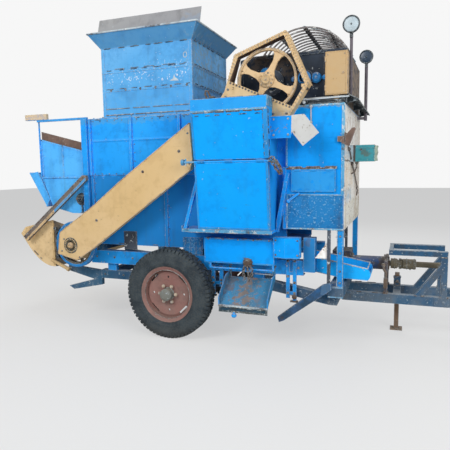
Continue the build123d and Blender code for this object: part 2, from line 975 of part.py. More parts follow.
# Skirt and return boxes below the side cabinet, hollow and open underneath, and the box that closes the rail's end
with BuildPart() as skirt:
    with Locations((-11, -600, 747.5)):
        Box(596, 100, 203)
    with Locations((-11, -599, 745)):
        Box(588, 92, 199, mode=Mode.SUBTRACT)
    for tab_x in [-256, 278]:
        with Locations((tab_x, -645, 624)):
            Box(14, 10, 46)
    with Locations((11, -645, 606)):
        Box(548, 10, 10)
save(skirt, "skirt_box")
with BuildPart() as return_box:
    with BuildSketch(Plane.XY.offset(717)):
        with BuildLine():
            Polyline((287, -600), (287, -668), (380, -690), (493, -660), (493, -600), close=True)
        box_face = make_face()
    extrude(amount=161)
    with BuildSketch(Plane.XY.offset(712)):
        add(box_face)
        offset(amount=-4, kind=Kind.INTERSECTION, mode=Mode.REPLACE)
    extrude(amount=162, mode=Mode.SUBTRACT)
    with Locations((546, -518, 728)):
        Box(92, 76, 276)
        Box(84, 68, 268, mode=Mode.SUBTRACT)
save(return_box, "return_box")

# Discharge chute under the near side, with a flange at each end, hung by two straps
with BuildPart() as chute:
    with BuildSketch(Plane.YZ.offset(-128)):
        with BuildLine():
            Polyline(
                (-550, 516),
                (-795, 333),
                (-801, 285),
                (-806, 285),
                (-800, 336),
                (-555, 519),
                close=True,
            )
        make_face()
    extrude(amount=400)
    for strap_x in [-116, 260]:
        with Locations((strap_x, -552.5, 578)):
            Box(24, 5, 124)
    for flange_x in [-128, 267]:
        with BuildSketch(Plane.YZ.offset(flange_x)):
            with BuildLine():
                Polyline((-552, 516), (-552, 560), (-640, 545), (-803, 400), (-797, 334), close=True)
            make_face()
        extrude(amount=sheet)
save(chute, "discharge_chute")

# Sieve tray that sticks out in front, its front edge rounded, open at the top
tray_rear = 500
tray_near_y = 480
tray_wide = 280
with BuildPart() as tray:
    for inset, mode in [(0, Mode.ADD), (sheet, Mode.SUBTRACT)]:
        with BuildSketch(Plane.XZ.offset(tray_near_y - inset)):
            with BuildLine():
                nose = ThreePointArc(
                    (984 - inset, 627 + 12 * inset),
                    (1007 - inset, 585),
                    (987 - inset, 537 + inset),
                )
                Polyline(
                    nose @ 1,
                    (791, 543 + inset),
                    (tray_rear + inset, 604 + inset),
                    (tray_rear + inset, 716 + 12 * inset),
                    nose @ 0,
                )
            make_face()
        extrude(amount=inset * 2 - tray_wide, mode=mode)
save(tray, "sieve_tray")

save(blocks([(front_x, 1000, -220, -90, 1456, 1585)]), "teal_box")

# Lamps on posts
with BuildPart() as lamps:
    for lamp_x, lamp_y, foot_z, lamp_z, lamp_radius, post_radius in [
        (835, -450, 1930, 2462, 60, 11),
        (884, 350, 1830, 2387, 57, 14),
    ]:
        with BuildSketch(Plane.XY.offset(foot_z)):
            with Locations((lamp_x, lamp_y)):
                Circle(post_radius)
        extrude(amount=lamp_z - lamp_radius + 4 - foot_z)
        with Locations(((lamp_x + front_x) / 2, lamp_y, foot_z + 22)):
            Box(lamp_x - front_x, 22, 24)
        with BuildSketch(Plane.XZ.offset(26 - lamp_y)):
            with Locations((lamp_x, lamp_z)):
                Circle(lamp_radius)
        extrude(amount=-22)
        with BuildSketch(Plane.XZ.offset(4 - lamp_y)):
            with Locations((lamp_x, lamp_z)):
                Circle(lamp_radius - 2)
        extrude(amount=-34, taper=28)
save(lamps, "lamps")

# Drawbar: two straight rails, a nose that closes on the hitch eye, a sleeve for the leg
nose_x = 1580
save(
    blocks(
        [
            (760, nose_x, -190, -140, rail_low, rail_high),
            (760, nose_x, 140, 190, rail_low, rail_high),
        ]
    ),
    "drawbar_rails",
)
with BuildPart() as nose_bar:
    for side in [-1, 1]:
        with BuildSketch(Plane.XY.offset(rail_low)):
            with BuildLine():
                Polyline(
                    (nose_x, side * 190),
                    (2190, side * 50),
                    (2190, side * 4),
                    (nose_x, side * 140),
                    close=True,
                )
            make_face()
        extrude(amount=rail_high - rail_low)
    with Locations((2215, 0, hitch_z)):
        Box(90, 100, 44)
    with BuildSketch(Plane.XY.offset(hitch_z - 20)):
        with Locations((hitch_x, 0)):
            Circle(51)
    extrude(amount=40)
    with BuildSketch(Plane.XY.offset(hitch_z - 40)):
        with Locations((hitch_x, 0)):
            Circle(16)
    extrude(amount=80, mode=Mode.SUBTRACT)
save(nose_bar, "drawbar_nose")
with BuildPart() as sleeve:
    with Locations((leg_x, 0, 331)):
        Box(60, 280, 50)
    with Locations((leg_x, leg_y, 370)):
        Box(56, 56, 200)
        Box(40, 40, 220, mode=Mode.SUBTRACT)
save(sleeve, "leg_sleeve")

# Uprights and top rails over the drawbar, joined at their rear ends
frame_top = 735
frame_rear = 1130
with BuildPart() as draw_frames:
    with BuildSketch(Plane.XZ.offset(190)):
        with BuildLine():
            Polyline(
                (frame_rear, frame_top),
                (1570, frame_top),
                (1570, rail_high),
                (1520, rail_high),
                (1520, 555),
                (1388, rail_high),
                (1330, rail_high),
                (1520, 628),
                (1520, frame_top - 40),
                (frame_rear, frame_top - 40),
                close=True,
            )
        make_face()
    extrude(amount=-50)
    mirror(about=Plane.XZ)
    with Locations((frame_rear + 15, 0, frame_top - 20)):
        Box(30, 300, 40)
save(draw_frames, "draw_frames")

# Input bearing: gearbox under the front cabinet, tube, and a portal that stands on the drawbar
portal_top = 640
with BuildPart() as input_bearing:
    with Locations((740, 0, 600)):
        Box(150, 220, 200)
    with BuildSketch(Plane.YZ.offset(815)):
        with Locations((0, input_z)):
            Circle(56)
    extrude(amount=285)
    with BuildSketch(Plane.YZ.offset(1096)):
        with Locations((0, (rail_high + portal_top) / 2)):
            Rectangle(380, portal_top - rail_high)
        with Locations((0, rail_high)):
            Rectangle(280, 300, mode=Mode.SUBTRACT)
        with Locations((0, input_z)):
            Circle(72)
    extrude(amount=24)
    with BuildSketch(Plane.YZ.offset(830)):
        with Locations((0, input_z)):
            Circle(28)
    extrude(amount=300, mode=Mode.SUBTRACT)
save(input_bearing, "input_bearing")

# Input shaft: a plain stub, a stepped joint, and the end that runs in the bearing
with BuildPart() as input_shaft:
    with BuildSketch(Plane.XZ):
        with BuildLine():
            Polyline(
                (840, 0),
                (840, 24),
                (1140, 24),
                (1140, 42),
                (1190, 42),
                (1200, 30),
                (1230, 30),
                (1240, 42),
                (1340, 42),
                (1340, 24),
                (1560, 24),
                (1560, 0),
                close=True,
            )
        make_face()
    revolve(axis=Axis.X)
input_shaft.part.position = (0, 0, input_z)
save(input_shaft, "input_shaft")

# Parking leg that slides in the sleeve
with BuildPart() as leg:
    with Locations((leg_x, leg_y, 254)):
        Box(38, 38, 492)
    with Locations((leg_x, leg_y, 4)):
        Box(100, 100, 8)
save(leg, "parking_leg")
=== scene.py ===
import math
import random

import bmesh
import bpy
from mathutils import Matrix, Vector


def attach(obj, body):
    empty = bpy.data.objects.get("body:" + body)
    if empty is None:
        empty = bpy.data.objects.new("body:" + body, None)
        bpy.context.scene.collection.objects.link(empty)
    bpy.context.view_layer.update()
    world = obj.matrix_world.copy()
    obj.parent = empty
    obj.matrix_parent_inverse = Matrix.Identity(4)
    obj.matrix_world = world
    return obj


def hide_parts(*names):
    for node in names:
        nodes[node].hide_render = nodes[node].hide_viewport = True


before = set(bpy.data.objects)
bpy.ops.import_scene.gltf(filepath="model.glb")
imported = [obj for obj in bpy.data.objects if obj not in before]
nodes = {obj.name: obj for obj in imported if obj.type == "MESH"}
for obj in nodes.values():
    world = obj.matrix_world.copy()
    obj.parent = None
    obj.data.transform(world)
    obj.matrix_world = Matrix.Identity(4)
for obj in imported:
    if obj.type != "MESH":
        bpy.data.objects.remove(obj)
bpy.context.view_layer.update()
print("frame loaded,", len(nodes), "nodes")


# Camera as it stood for the photograph
cameraSettings = {
    "place": (1.241, -4.27, 1.409),
    "yaw": 20.629,
    "pitch": 6.612,
    "roll": -0.874,
    "lens": 38.4,
    "sensor": 36.0,
}


def makeCamera(s):
    yaw, pitch, roll = (math.radians(s[k]) for k in ("yaw", "pitch", "roll"))
    turnYaw = Matrix(((math.cos(yaw), math.sin(yaw), 0), (-math.sin(yaw), math.cos(yaw), 0), (0, 0, 1)))
    rise, run = math.sin(pitch), math.cos(pitch)
    turnPitch = Matrix(((1, 0, 0), (0, run, -rise), (0, rise, run)))
    turnRoll = Matrix(((math.cos(roll), 0, math.sin(roll)), (0, 1, 0), (-math.sin(roll), 0, math.cos(roll))))
    right, forward, up = turnRoll @ turnPitch @ turnYaw
    data = bpy.data.cameras.new("photoCamera")
    data.lens = s["lens"]
    data.sensor_width = s["sensor"]
    data.clip_start = 0.05
    data.clip_end = 100
    camera = bpy.data.objects.new("photoCamera", data)
    camera.matrix_world = Matrix((right, up, -forward)).transposed().to_4x4()
    camera.location = s["place"]
    bpy.context.scene.collection.objects.link(camera)
    bpy.context.scene.camera = camera


makeCamera(cameraSettings)


# A shader socket that adds its own Math nodes
class Wire:
    def __init__(self, paint, socket):
        self.paint = paint
        self.socket = socket

    def maths(self, operation, first, second):
        made = self.paint.node("Math", {"operation": operation}, {0: first, 1: second})
        return Wire(self.paint, made.outputs[0])

    def __add__(self, other):
        return self.maths("ADD", self, other)

    def __radd__(self, other):
        return self.maths("ADD", other, self)

    def __sub__(self, other):
        return self.maths("SUBTRACT", self, other)

    def __rsub__(self, other):
        return self.maths("SUBTRACT", other, self)

    def __mul__(self, other):
        return self.maths("MULTIPLY", self, other)

    def __rmul__(self, other):
        return self.maths("MULTIPLY", other, self)

    def least(self, other):
        return self.maths("MINIMUM", self, other)

    def most(self, other):
        return self.maths("MAXIMUM", self, other)


class Paint:
    def __init__(self, name, owner=None):
        self.material = owner or bpy.data.materials.new(name)
        self.material.use_nodes = True
        self.tree = self.material.node_tree
        self.tree.nodes.clear()
        self.place = self.node("TexCoord").outputs["Object"]
        parts = self.node("SeparateXYZ", {}, {0: self.place})
        self.x, self.y, self.z = (Wire(self, parts.outputs[i]) for i in range(3))

    def node(self, kind, settings=None, values=None):
        made = self.tree.nodes.new("ShaderNode" + kind)
        for key, value in (settings or {}).items():
            setattr(made, key, value)
        for key, value in (values or {}).items():
            if isinstance(value, Wire):
                value = value.socket
            if isinstance(value, bpy.types.Node):
                value = value.outputs[0]
            if isinstance(value, bpy.types.NodeSocket):
                self.tree.links.new(value, made.inputs[key])
            else:
                made.inputs[key].default_value = value
        return made

    # Noise between 0 and 1; stretch is one scale for each axis
    def noise(self, scale, detail=3, stretch=None, rough=0.55, shift=0):
        place = self.place
        if stretch or shift:
            place = self.node(
                "Mapping",
                {},
                {"Vector": place, "Location": (shift, shift, shift), "Scale": stretch or (1, 1, 1)},
            ).outputs[0]
        made = self.node(
            "TexNoise", {}, {"Vector": place, "Scale": scale, "Detail": detail, "Roughness": rough}
        )
        return Wire(self, made.outputs["Fac"])

    # A soft step: 0 below low, 1 above high
    def step(self, value, low, high):
        made = self.node(
            "MapRange",
            {"interpolation_type": "SMOOTHSTEP"},
            {"Value": value, "From Min": low, "From Max": high},
        )
        return Wire(self, made.outputs[0])

    def blend(self, amount, first, second, way="MIX"):
        made = self.node(
            "Mix", {"data_type": "RGBA", "blend_type": way}, {0: amount, 6: colour(first), 7: colour(second)}
        )
        return made.outputs[2]

    # 1 inside a box of the machine's own frame, its edge broken up by a noise
    def inside(self, low, high, soft, ragged):
        centre = tuple((a + b) / 2 for a, b in zip(low, high))
        half = tuple((b - a) / 2 for a, b in zip(low, high))
        away = self.node("VectorMath", {"operation": "SUBTRACT"}, {0: self.place, 1: centre})
        away = self.node("VectorMath", {"operation": "ABSOLUTE"}, {0: away})
        away = self.node("VectorMath", {"operation": "SUBTRACT"}, {0: away, 1: half})
        parts = self.node("SeparateXYZ", {}, {0: away})
        across, along, over = (Wire(self, parts.outputs[i]) for i in range(3))
        furthest = across.most(along).most(over) + (ragged - 0.5) * (soft * 5)
        return self.step(furthest, soft / 2, -soft / 2)

    # Edges that stick out, from the difference between a rounded and the true normal
    def edges(self, radius):
        rounded = self.node("Bevel", {"samples": 6}, {"Radius": radius})
        true = self.node("NewGeometry").outputs["Normal"]
        facing = self.node("VectorMath", {"operation": "DOT_PRODUCT"}, {0: rounded.outputs[0], 1: true})
        return self.step(Wire(self, facing.outputs["Value"]), 0.985, 0.86)

    def upward(self):
        normal = self.node("NewGeometry").outputs["Normal"]
        parts = self.node("SeparateXYZ", {}, {0: normal})
        return Wire(self, parts.outputs[2])

    def finish(self, shader, output="OutputMaterial"):
        self.node(output, {}, {"Surface": shader})
        return self.material


def colour(value):
    if isinstance(value, tuple) and len(value) == 3:
        return (*value, 1)
    return value


# A colour given from 0 to 255 as the linear one that a shader takes
def shade(red, green, blue):
    parts = [v / 255 for v in (red, green, blue)]
    return tuple(((v + 0.055) / 1.055) ** 2.4 if v > 0.04 else v / 12.92 for v in parts)


# Finishes of sheets and bars: paint, fading, zones, grime, dust, chips and rubbed edges.
# Colours run from 0 to 255, and paint holds the colour, its faded and its deep tone.
# A zone is (low corner, high corner, softness, amount, colour).
# A worn zone is (low corner, high corner, softness, lift)
usualFinish = dict(
    mottle=0.4, grime=0.3, grimeColour=(64, 62, 60), dust=0.55, lowDust=0.25, dustColour=(150, 142, 128),
    patchy=0.02, chipLine=0.6, chipFine=0.4, chips=0.8, chipColour=(186, 196, 200), scuffs=0.35,
    rustLine=0.64, wornRust=0.5, rust=0.5, rustColour=(134, 88, 60), edge=0.01, rub=0.7,
    rubColour=(186, 196, 200), edgeRust=0.55, bump=0.25, rough=0.6, shine=0.2, seed=0,
    scuffColour=None, zones=(), overZones=(), wornZones=(),
)
rustDark = (74, 50, 38)


def wornFinish(name, given):
    s = {**usualFinish, **given}
    p = Paint(name)
    seed = s["seed"]
    plain, faded, deep = (shade(*v) for v in s["paint"])
    wide = p.noise(1.3, 2, shift=seed)
    middle = p.noise(7, 5, shift=seed + 3)
    small = p.noise(28, 3, shift=seed + 7)
    fine = p.noise(80, 3, shift=5)
    streak = p.noise(9, 4, stretch=(1.6, 1.6, 0.12), shift=2)
    tint = p.blend(p.step(wide, 0.35, 0.65), plain, faded)
    for low, high, soft, amount, zoneColour in s["zones"]:
        tint = p.blend(p.inside(low, high, soft, small) * amount, tint, shade(*zoneColour))
    tint = p.blend(p.step(middle * 0.6 + small * 0.4, 0.46, 0.64) * s["mottle"], tint, deep)
    for low, high, soft, amount, zoneColour in s["overZones"]:
        tint = p.blend(p.inside(low, high, soft, small) * amount, tint, shade(*zoneColour))
    grime = p.step(streak * 0.65 + middle * 0.35, 0.5, 0.7) * s["grime"]
    tint = p.blend(grime, tint, shade(*s["grimeColour"]))
    dusty = p.step(p.upward(), 0.3, 0.9) * p.step(middle + fine * 0.4, 0.35, 0.8) * s["dust"]
    low = p.step(p.z, 0.9, 0.1) * s["lowDust"] * p.step(middle, 0.3, 0.65)
    tint = p.blend(dusty.most(low), tint, shade(*s["dustColour"]))
    worn = p.step(wide, 0.45, 0.62) * s["patchy"]
    for low, high, soft, lift in s["wornZones"]:
        worn = worn + p.inside(low, high, soft, small) * lift
    line, grain = s["chipLine"], s["chipFine"]
    chips = p.step(fine * grain + small * (1 - grain) + worn, line, line + 0.02) * s["chips"]
    tint = p.blend(chips, tint, shade(*s["chipColour"]))
    scuffs = p.noise(5, 3, stretch=(1, 1, 7), shift=seed + 11)
    scuffs = p.step(scuffs * 0.7 + fine * 0.3, 0.62, 0.66) * s["scuffs"]
    tint = p.blend(scuffs, tint, shade(*s["scuffColour"]) if s["scuffColour"] else deep)
    line = s["rustLine"]
    rust = p.step(middle * 0.5 + small * 0.3 + fine * 0.2 + worn * s["wornRust"], line, line + 0.05)
    tint = p.blend(rust * s["rust"], tint, shade(*s["rustColour"]))
    rubbed = p.edges(s["edge"]) * p.step(fine * 0.5 + small * 0.5, 0.42, 0.56)
    tint = p.blend(rubbed * s["rub"], tint, shade(*s["rubColour"]))
    dark = p.edges(s["edge"] * 0.8) * p.step(small, 0.52, 0.62)
    tint = p.blend(dark * s["edgeRust"], tint, shade(*rustDark))
    height = fine * 0.25 + middle * 0.5 - chips * 0.35 - rust * s["rust"] * 0.3
    bump = p.node("Bump", {}, {"Strength": s["bump"], "Distance": 0.004, "Height": height})
    gloss = (s["rough"] + middle * 0.2 + dusty * 0.2 + rust * 0.15).least(0.95)
    values = {"Base Color": tint, "Roughness": gloss, "Normal": bump, "Specular IOR Level": s["shine"]}
    return p.finish(p.node("BsdfPrincipled", {}, values))


finishes = {
    "blueNear": dict(
        paint=((2, 162, 250), (10, 166, 248), (0, 140, 232)), grime=0.08, lowDust=0.1, chipLine=0.675,
        chipColour=(150, 196, 226), rust=0.2, rough=0.42, shine=0.12, scuffColour=(60, 120, 170),
        zones=[
            ((-0.33, -0.9, 1.853), (0.31, -0.6, 1.95), 0.012, 0.8, (44, 156, 228)),
            # Painted shade: the cabinet's right wall and the strip beside it greyer and darker, for the
            # lesser light there
            ((0.276, -0.9, 0.95), (0.31, -0.5, 1.86), 0.006, 0.3, (64, 148, 200)),
            ((-0.46, -0.78, 0.9), (0.31, -0.76, 0.94), 0.008, 0.7, (92, 170, 205)),
        ],
        wornZones=[
            ((-0.33, -0.9, 1.84), (0.31, -0.6, 1.95), 0.02, 0.05),
            ((0.02, -0.9, 1.62), (0.26, -0.6, 1.72), 0.04, 0.055),
            ((0.0, -0.9, 1.72), (0.27, -0.7, 1.83), 0.06, 0.05),
            ((0.16, -0.9, 0.95), (0.31, -0.74, 1.5), 0.05, 0.04),
            ((-0.46, -0.78, 0.9), (0.31, -0.74, 0.97), 0.02, 0.06),
        ],
    ),
    "skirtBlue": dict(
        paint=((0, 160, 252), (2, 164, 254), (0, 130, 216)), grime=0.12, lowDust=0.05, chipLine=0.67,
        chipColour=(150, 190, 216), rust=0.3, rough=0.45, shine=0.12, seed=3,
        zones=[
            ((0.045, -0.66, 0.635), (0.1, -0.64, 0.69), 0.02, 0.85, (104, 84, 74)),
            ((0.49, -0.7, 0.5), (0.6, -0.45, 0.9), 0.01, 0.85, (50, 124, 178)),
            ((0.52, -0.6, 0.79), (0.56, -0.54, 0.85), 0.03, 0.4, (110, 100, 100)),
        ],
        wornZones=[((0.26, -0.7, 0.7), (0.5, -0.6, 0.9), 0.03, 0.05)],
    ),
    "braceBlue": dict(
        paint=((10, 144, 226), (22, 150, 232), (20, 104, 170)), mottle=0.5, grime=0.25, dust=0.2,
        lowDust=0.1, chipLine=0.65, rust=0.4, rough=0.5, seed=5,
        zones=[
            ((0.28, -0.7, 0.15), (0.8, -0.58, 0.6), 0.01, 0.95, (34, 56, 72)),
            ((0.655, -0.7, 0.44), (0.8, -0.58, 0.6), 0.008, 0.9, (72, 108, 140)),
            ((0.28, -0.64, 0.18), (0.36, -0.58, 0.24), 0.02, 0.6, (70, 60, 54)),
        ],
    ),
    "blueHopper": dict(
        paint=((88, 168, 226), (106, 178, 230), (62, 138, 200)), mottle=0.45, grime=0.15, chipLine=0.675,
        chipFine=0.62, chipColour=(226, 232, 234), rust=0.2, rough=0.5, seed=4,
        zones=[
            # Painted shade: the flared rim darker, as it faces down
            ((-9, -0.6, 2.485), (9, 0.5, 2.7), 0.006, 0.75, (84, 146, 192)),
            # Painted shade: the hopper's front face greyer and darker, as it stands in shade
            ((-0.4395, -0.53, 1.8), (-0.2, 0.4, 2.62), 0.004, 0.75, (88, 134, 168)),
            ((-9, -0.53, 1.86), (9, 0.4, 2.1), 0.05, 0.5, (66, 160, 228)),
        ],
        # Painted highlight: a paler sheen at the top of the hopper's front face
        overZones=[((-0.4395, -0.53, 2.3), (-0.2, -0.1, 2.48), 0.08, 0.5, (132, 164, 190))],
        wornZones=[
            ((-1.3, -0.7, 2.14), (-0.45, -0.4, 2.31), 0.05, 0.088),
            ((-0.86, -0.7, 2.3), (-0.45, -0.4, 2.46), 0.08, 0.062),
        ],
    ),
    "bodyBlue": dict(
        paint=((26, 156, 246), (40, 166, 250), (20, 124, 204)), grime=0.2, chipLine=0.67, rust=0.3,
        rough=0.5, shine=0.12, seed=6,
        zones=[
            # Painted shade: the body's lower panels painted darker
            ((-9, -0.6, 0.7), (9, 0.6, 1.37), 0.03, 0.7, (30, 116, 184)),
            ((-9, -0.6, 1.83), (9, 0.6, 1.95), 0.02, 0.6, (80, 156, 208)),
            ((-2.3, -9, 1.898), (-1.9, 9, 1.96), 0.003, 1.0, (216, 194, 162)),
        ],
    ),
    "rearBlue": dict(
        paint=((78, 178, 252), (92, 188, 254), (56, 150, 230)), grime=0.2, chipLine=0.675, rust=0.3,
        edgeRust=0.7, rough=0.5, shine=0.12, seed=7,
    ),
    "railBlue": dict(
        paint=((10, 144, 224), (24, 152, 232), (20, 100, 160)), mottle=0.5, lowDust=0.1, chipLine=0.65,
        rough=0.55, seed=9,
        wornZones=[
            ((-0.3, -0.58, 0.3), (-0.15, -0.54, 0.48), 0.05, 0.1),
            ((0.34, -0.58, 0.3), (0.46, -0.54, 0.5), 0.05, 0.1),
        ],
    ),
    "blueFront": dict(
        paint=((4, 150, 236), (14, 158, 242), (6, 122, 204)), grime=0.2, chipLine=0.67, rust=0.3,
        rough=0.5, shine=0.12, seed=8,
        zones=[
            ((0.36, -0.62, 1.86), (0.82, -0.58, 1.89), 0.01, 0.7, (120, 150, 170)),
            ((0.4, -0.62, 1.22), (0.76, -0.604, 1.4), 0.01, 0.6, (58, 152, 212)),
            ((0.808, -0.61, 0.93), (0.83, -0.56, 1.89), 0.01, 0.6, (190, 196, 190)),
        ],
        wornZones=[((0.6, -0.62, 1.42), (0.82, -0.58, 1.88), 0.1, 0.03)],
    ),
    "blueLow": dict(
        paint=((20, 110, 172), (34, 124, 186), (22, 80, 128)), mottle=0.6, grime=0.4, chipFine=0.75,
        chips=0.6, chipColour=(138, 184, 208), rust=0.4, seed=10,
    ),
    "blueFrame": dict(
        paint=((36, 80, 114), (50, 94, 124), (38, 56, 72)), mottle=0.6, grime=0.5, dust=0.9, lowDust=0.35,
        dustColour=(156, 164, 170), chipLine=0.615, chipFine=0.6, rub=0.5, seed=12,
    ),
    "tubeBlue": dict(
        paint=((46, 84, 140), (60, 96, 150), (56, 66, 84)), mottle=0.6, grime=0.5, rustLine=0.57, rust=0.9,
        rustColour=(104, 88, 76), seed=14,
        zones=[
            ((0.6, -0.2, 0.4), (0.83, 0.2, 0.8), 0.02, 0.85, (66, 58, 54)),
            ((1.06, -0.3, 0.3), (1.2, 0.3, 0.8), 0.02, 0.85, (96, 84, 74)),
            ((0.83, -0.2, 0.5), (1.1, 0.2, 0.562), 0.02, 0.6, (100, 86, 76)),
        ],
    ),
    "creamWorn": dict(
        paint=((214, 182, 130), (222, 192, 146), (194, 160, 110)), grime=0.08, dust=0.3, chipLine=0.67,
        chipColour=(116, 98, 80), rust=0.3, edge=0.006, rubColour=(140, 112, 84), rough=0.55, seed=16,
        zones=[
            ((-0.03, -0.69, 1.92), (0.03, -0.45, 1.99), 0.004, 0.95, (50, 56, 66)),
            ((0.49, -0.69, 1.98), (0.55, -0.45, 2.04), 0.004, 0.95, (50, 56, 66)),
            ((0.27, -0.72, 1.78), (0.45, -0.69, 1.84), 0.03, 0.4, (150, 160, 160)),
            ((0.6, -0.65, 1.9), (0.84, -0.4, 2.3), 0.004, 0.85, (186, 158, 118)),
        ],
    ),
    "pulleyCream": dict(
        paint=((214, 182, 138), (222, 192, 150), (180, 146, 104)), dust=0.3, chipLine=0.64,
        chipColour=(104, 84, 68), rust=0.4, edge=0.006, rubColour=(140, 112, 84), rough=0.55, seed=17,
    ),
    # Painted light: the tray's blue lifted brighter to cancel the shade the cabinet above casts on it
    "trayBlueWithPaintedLight": dict(
        paint=((8, 178, 255), (20, 184, 255), (20, 140, 214)), grime=0.15, dust=0.2, lowDust=0.05,
        chipLine=0.64, chipColour=(214, 226, 230), rust=0.4, rough=0.5, seed=21,
    ),
    "bootCream": dict(
        paint=((226, 194, 142), (232, 202, 154), (196, 162, 114)), grime=0.15, lowDust=0.1, chipLine=0.65,
        chipColour=(110, 90, 72), rust=0.4, edge=0.006, rubColour=(140, 112, 84), rough=0.55, seed=18,
        zones=[
            # Painted shade: the first two zones darken the boot's end on both sides, standing in for the gap
            # in shade there
            ((-1.925, -0.56, 0.4), (-1.5, -0.5, 1.0), 0.006, 0.9, (44, 52, 62)),
            ((-1.925, 0.5, 0.4), (-1.5, 0.56, 1.0), 0.006, 0.9, (44, 52, 62)),
            ((-1.7, -0.6, 0.66), (-1.5, -0.546, 0.84), 0.01, 0.9, (70, 62, 56)),
        ],
    ),
    "ringBlue": dict(
        paint=((20, 128, 200), (40, 140, 206), (26, 88, 136)), chipLine=0.61, rough=0.5, seed=19,
        zones=[((-1.66, -0.8, 0.67), (-1.52, -0.7, 0.82), 0.004, 1.0, (196, 166, 126))],
    ),
    "faceWorn": dict(
        paint=((250, 248, 242), (255, 254, 250), (228, 214, 192)), grime=0.55, grimeColour=(150, 104, 72),
        chipColour=(124, 98, 80), rustLine=0.58, rust=0.7, rustColour=(150, 98, 62), rough=0.65, seed=20,
        zones=[
            ((0.8, -0.61, 0.9), (0.83, 0.61, 1.13), 0.05, 0.5, (214, 212, 184)),
            ((0.8, -0.61, 1.16), (0.83, -0.12, 1.245), 0.055, 0.7, (150, 190, 216)),
            ((0.8, -0.61, 1.26), (0.83, 0.0, 1.45), 0.1, 0.55, (236, 206, 164)),
            ((0.8, -0.61, 1.47), (0.83, -0.22, 1.58), 0.055, 0.6, (156, 190, 216)),
            ((0.8, -0.61, 1.455), (0.83, 0.61, 1.47), 0.006, 0.85, (70, 62, 58)),
            ((0.8, 0.15, 0.92), (0.83, 0.61, 1.9), 0.1, 0.4, (176, 160, 136)),
        ],
    ),
    "redRim": dict(
        paint=((140, 100, 94), (150, 112, 104), (116, 78, 74)), mottle=0.5, grime=0.35, lowDust=0.4,
        dustColour=(134, 124, 116), chipLine=0.65, chipColour=(150, 144, 138), rust=0.3,
        rubColour=(170, 140, 130), rough=0.65, seed=24,
    ),
    "rustySteel": dict(
        paint=((90, 74, 64), (110, 92, 78), (60, 50, 46)), grime=0.4, chipColour=(146, 130, 116), rust=0.8,
        rustColour=(126, 88, 66), bump=0.5, rough=0.75, seed=28,
    ),
    "shaftGrime": dict(
        paint=((98, 92, 76), (118, 110, 92), (62, 60, 52)), grime=0.4, chipColour=(150, 142, 124),
        rustColour=(124, 92, 70), bump=0.5, rough=0.75, seed=29,
    ),
    "webGrey": dict(
        paint=((88, 84, 74), (104, 98, 86), (60, 58, 54)), chipLine=0.61, chipColour=(140, 136, 124),
        rough=0.7, seed=31,
        zones=[((-1.66, -0.8, 0.67), (-1.52, -0.7, 0.82), 0.004, 1.0, (204, 172, 130))],
    ),
    "legRust": dict(
        paint=((116, 92, 74), (130, 104, 84), (84, 64, 52)), chipColour=(160, 140, 120), rust=0.8,
        rough=0.75, seed=30,
    ),
    "cageSteel": dict(
        paint=((106, 98, 98), (130, 122, 116), (66, 60, 62)), grime=0.4, chipLine=0.57,
        chipColour=(196, 196, 192), rust=0.6, rustColour=(104, 80, 66), rough=0.65, seed=32,
    ),
    "lampGrey": dict(
        paint=((96, 90, 100), (112, 106, 114), (70, 66, 74)), chipLine=0.62, chipColour=(170, 168, 168),
        rust=0.3, rough=0.5, seed=33,
        zones=[
            ((0.7, -0.56, 2.39), (0.95, -0.4, 2.56), 0.004, 0.9, (64, 76, 88)),
            ((0.8, 0.25, 2.32), (0.95, 0.45, 2.46), 0.004, 0.9, (30, 44, 60)),
        ],
    ),
    "drumBlue": dict(
        paint=((44, 110, 160), (66, 126, 168), (54, 60, 70)), mottle=0.7, grime=0.5, chipLine=0.57,
        rustLine=0.56, rust=0.8, seed=34,
    ),
    # Partly dirty dark paint and partly painted shade: the housing plates are painted as dark as they look in
    # shade
    "darkNavyAndPaintedShade": dict(
        paint=((36, 46, 60), (46, 56, 70), (28, 32, 42)), grime=0.4, dust=0.3, chipLine=0.645, rust=0.3,
        rub=0.4, seed=36,
        zones=[
            ((0.08, -0.52, 2.12), (0.44, -0.49, 2.3), 0.05, 0.75, (92, 82, 74)),
            ((0.05, -0.52, 1.9), (0.22, -0.49, 2.02), 0.05, 0.6, (40, 96, 140)),
        ],
        overZones=[((0.809, -0.52, 1.85), (0.83, 0.6, 2.3), 0.01, 0.85, (150, 132, 114))],
    ),
    "tealPaint": dict(
        paint=((50, 150, 164), (70, 160, 172), (40, 122, 136)), chipLine=0.625, chipColour=(150, 176, 176),
        rough=0.5, seed=40,
        zones=[
            ((0.915, -0.24, 1.495), (0.955, -0.2, 1.545), 0.025, 0.6, (108, 92, 66)),
            ((0.8, -0.24, 1.44), (0.838, 0.0, 1.6), 0.002, 1.0, (176, 192, 200)),
            ((0.838, -0.24, 1.44), (0.854, 0.0, 1.6), 0.002, 0.95, (88, 72, 62)),
        ],
    ),
    "tealPale": dict(
        paint=((176, 190, 172), (196, 204, 186), (110, 128, 118)), chipLine=0.585, chipColour=(70, 62, 54),
        rust=0.4, rough=0.5, seed=41,
    ),
    "whitePlate": dict(
        paint=((196, 196, 194), (208, 208, 204), (176, 172, 166)), mottle=0.3, grime=0.2,
        chipColour=(128, 112, 96), edge=0.006, rub=0.3, seed=44,
        overZones=[((0.28, -0.79, 1.6), (0.449, -0.73, 1.82), 0.003, 1.0, (6, 148, 236))],
    ),
    "boardGrey": dict(
        paint=((150, 150, 152), (158, 158, 158), (126, 126, 128)), grime=0.25, chipLine=0.65, rust=0.25,
        rustColour=(128, 112, 100), rough=0.75, seed=48,
        zones=[((-0.55, -0.55, 2.58), (-0.3, -0.4, 2.7), 0.05, 0.3, (120, 150, 180))],
    ),
    "chuteWorn": dict(
        paint=((34, 124, 174), (52, 136, 180), (60, 94, 112)), mottle=0.5, dust=0.15, lowDust=0.1,
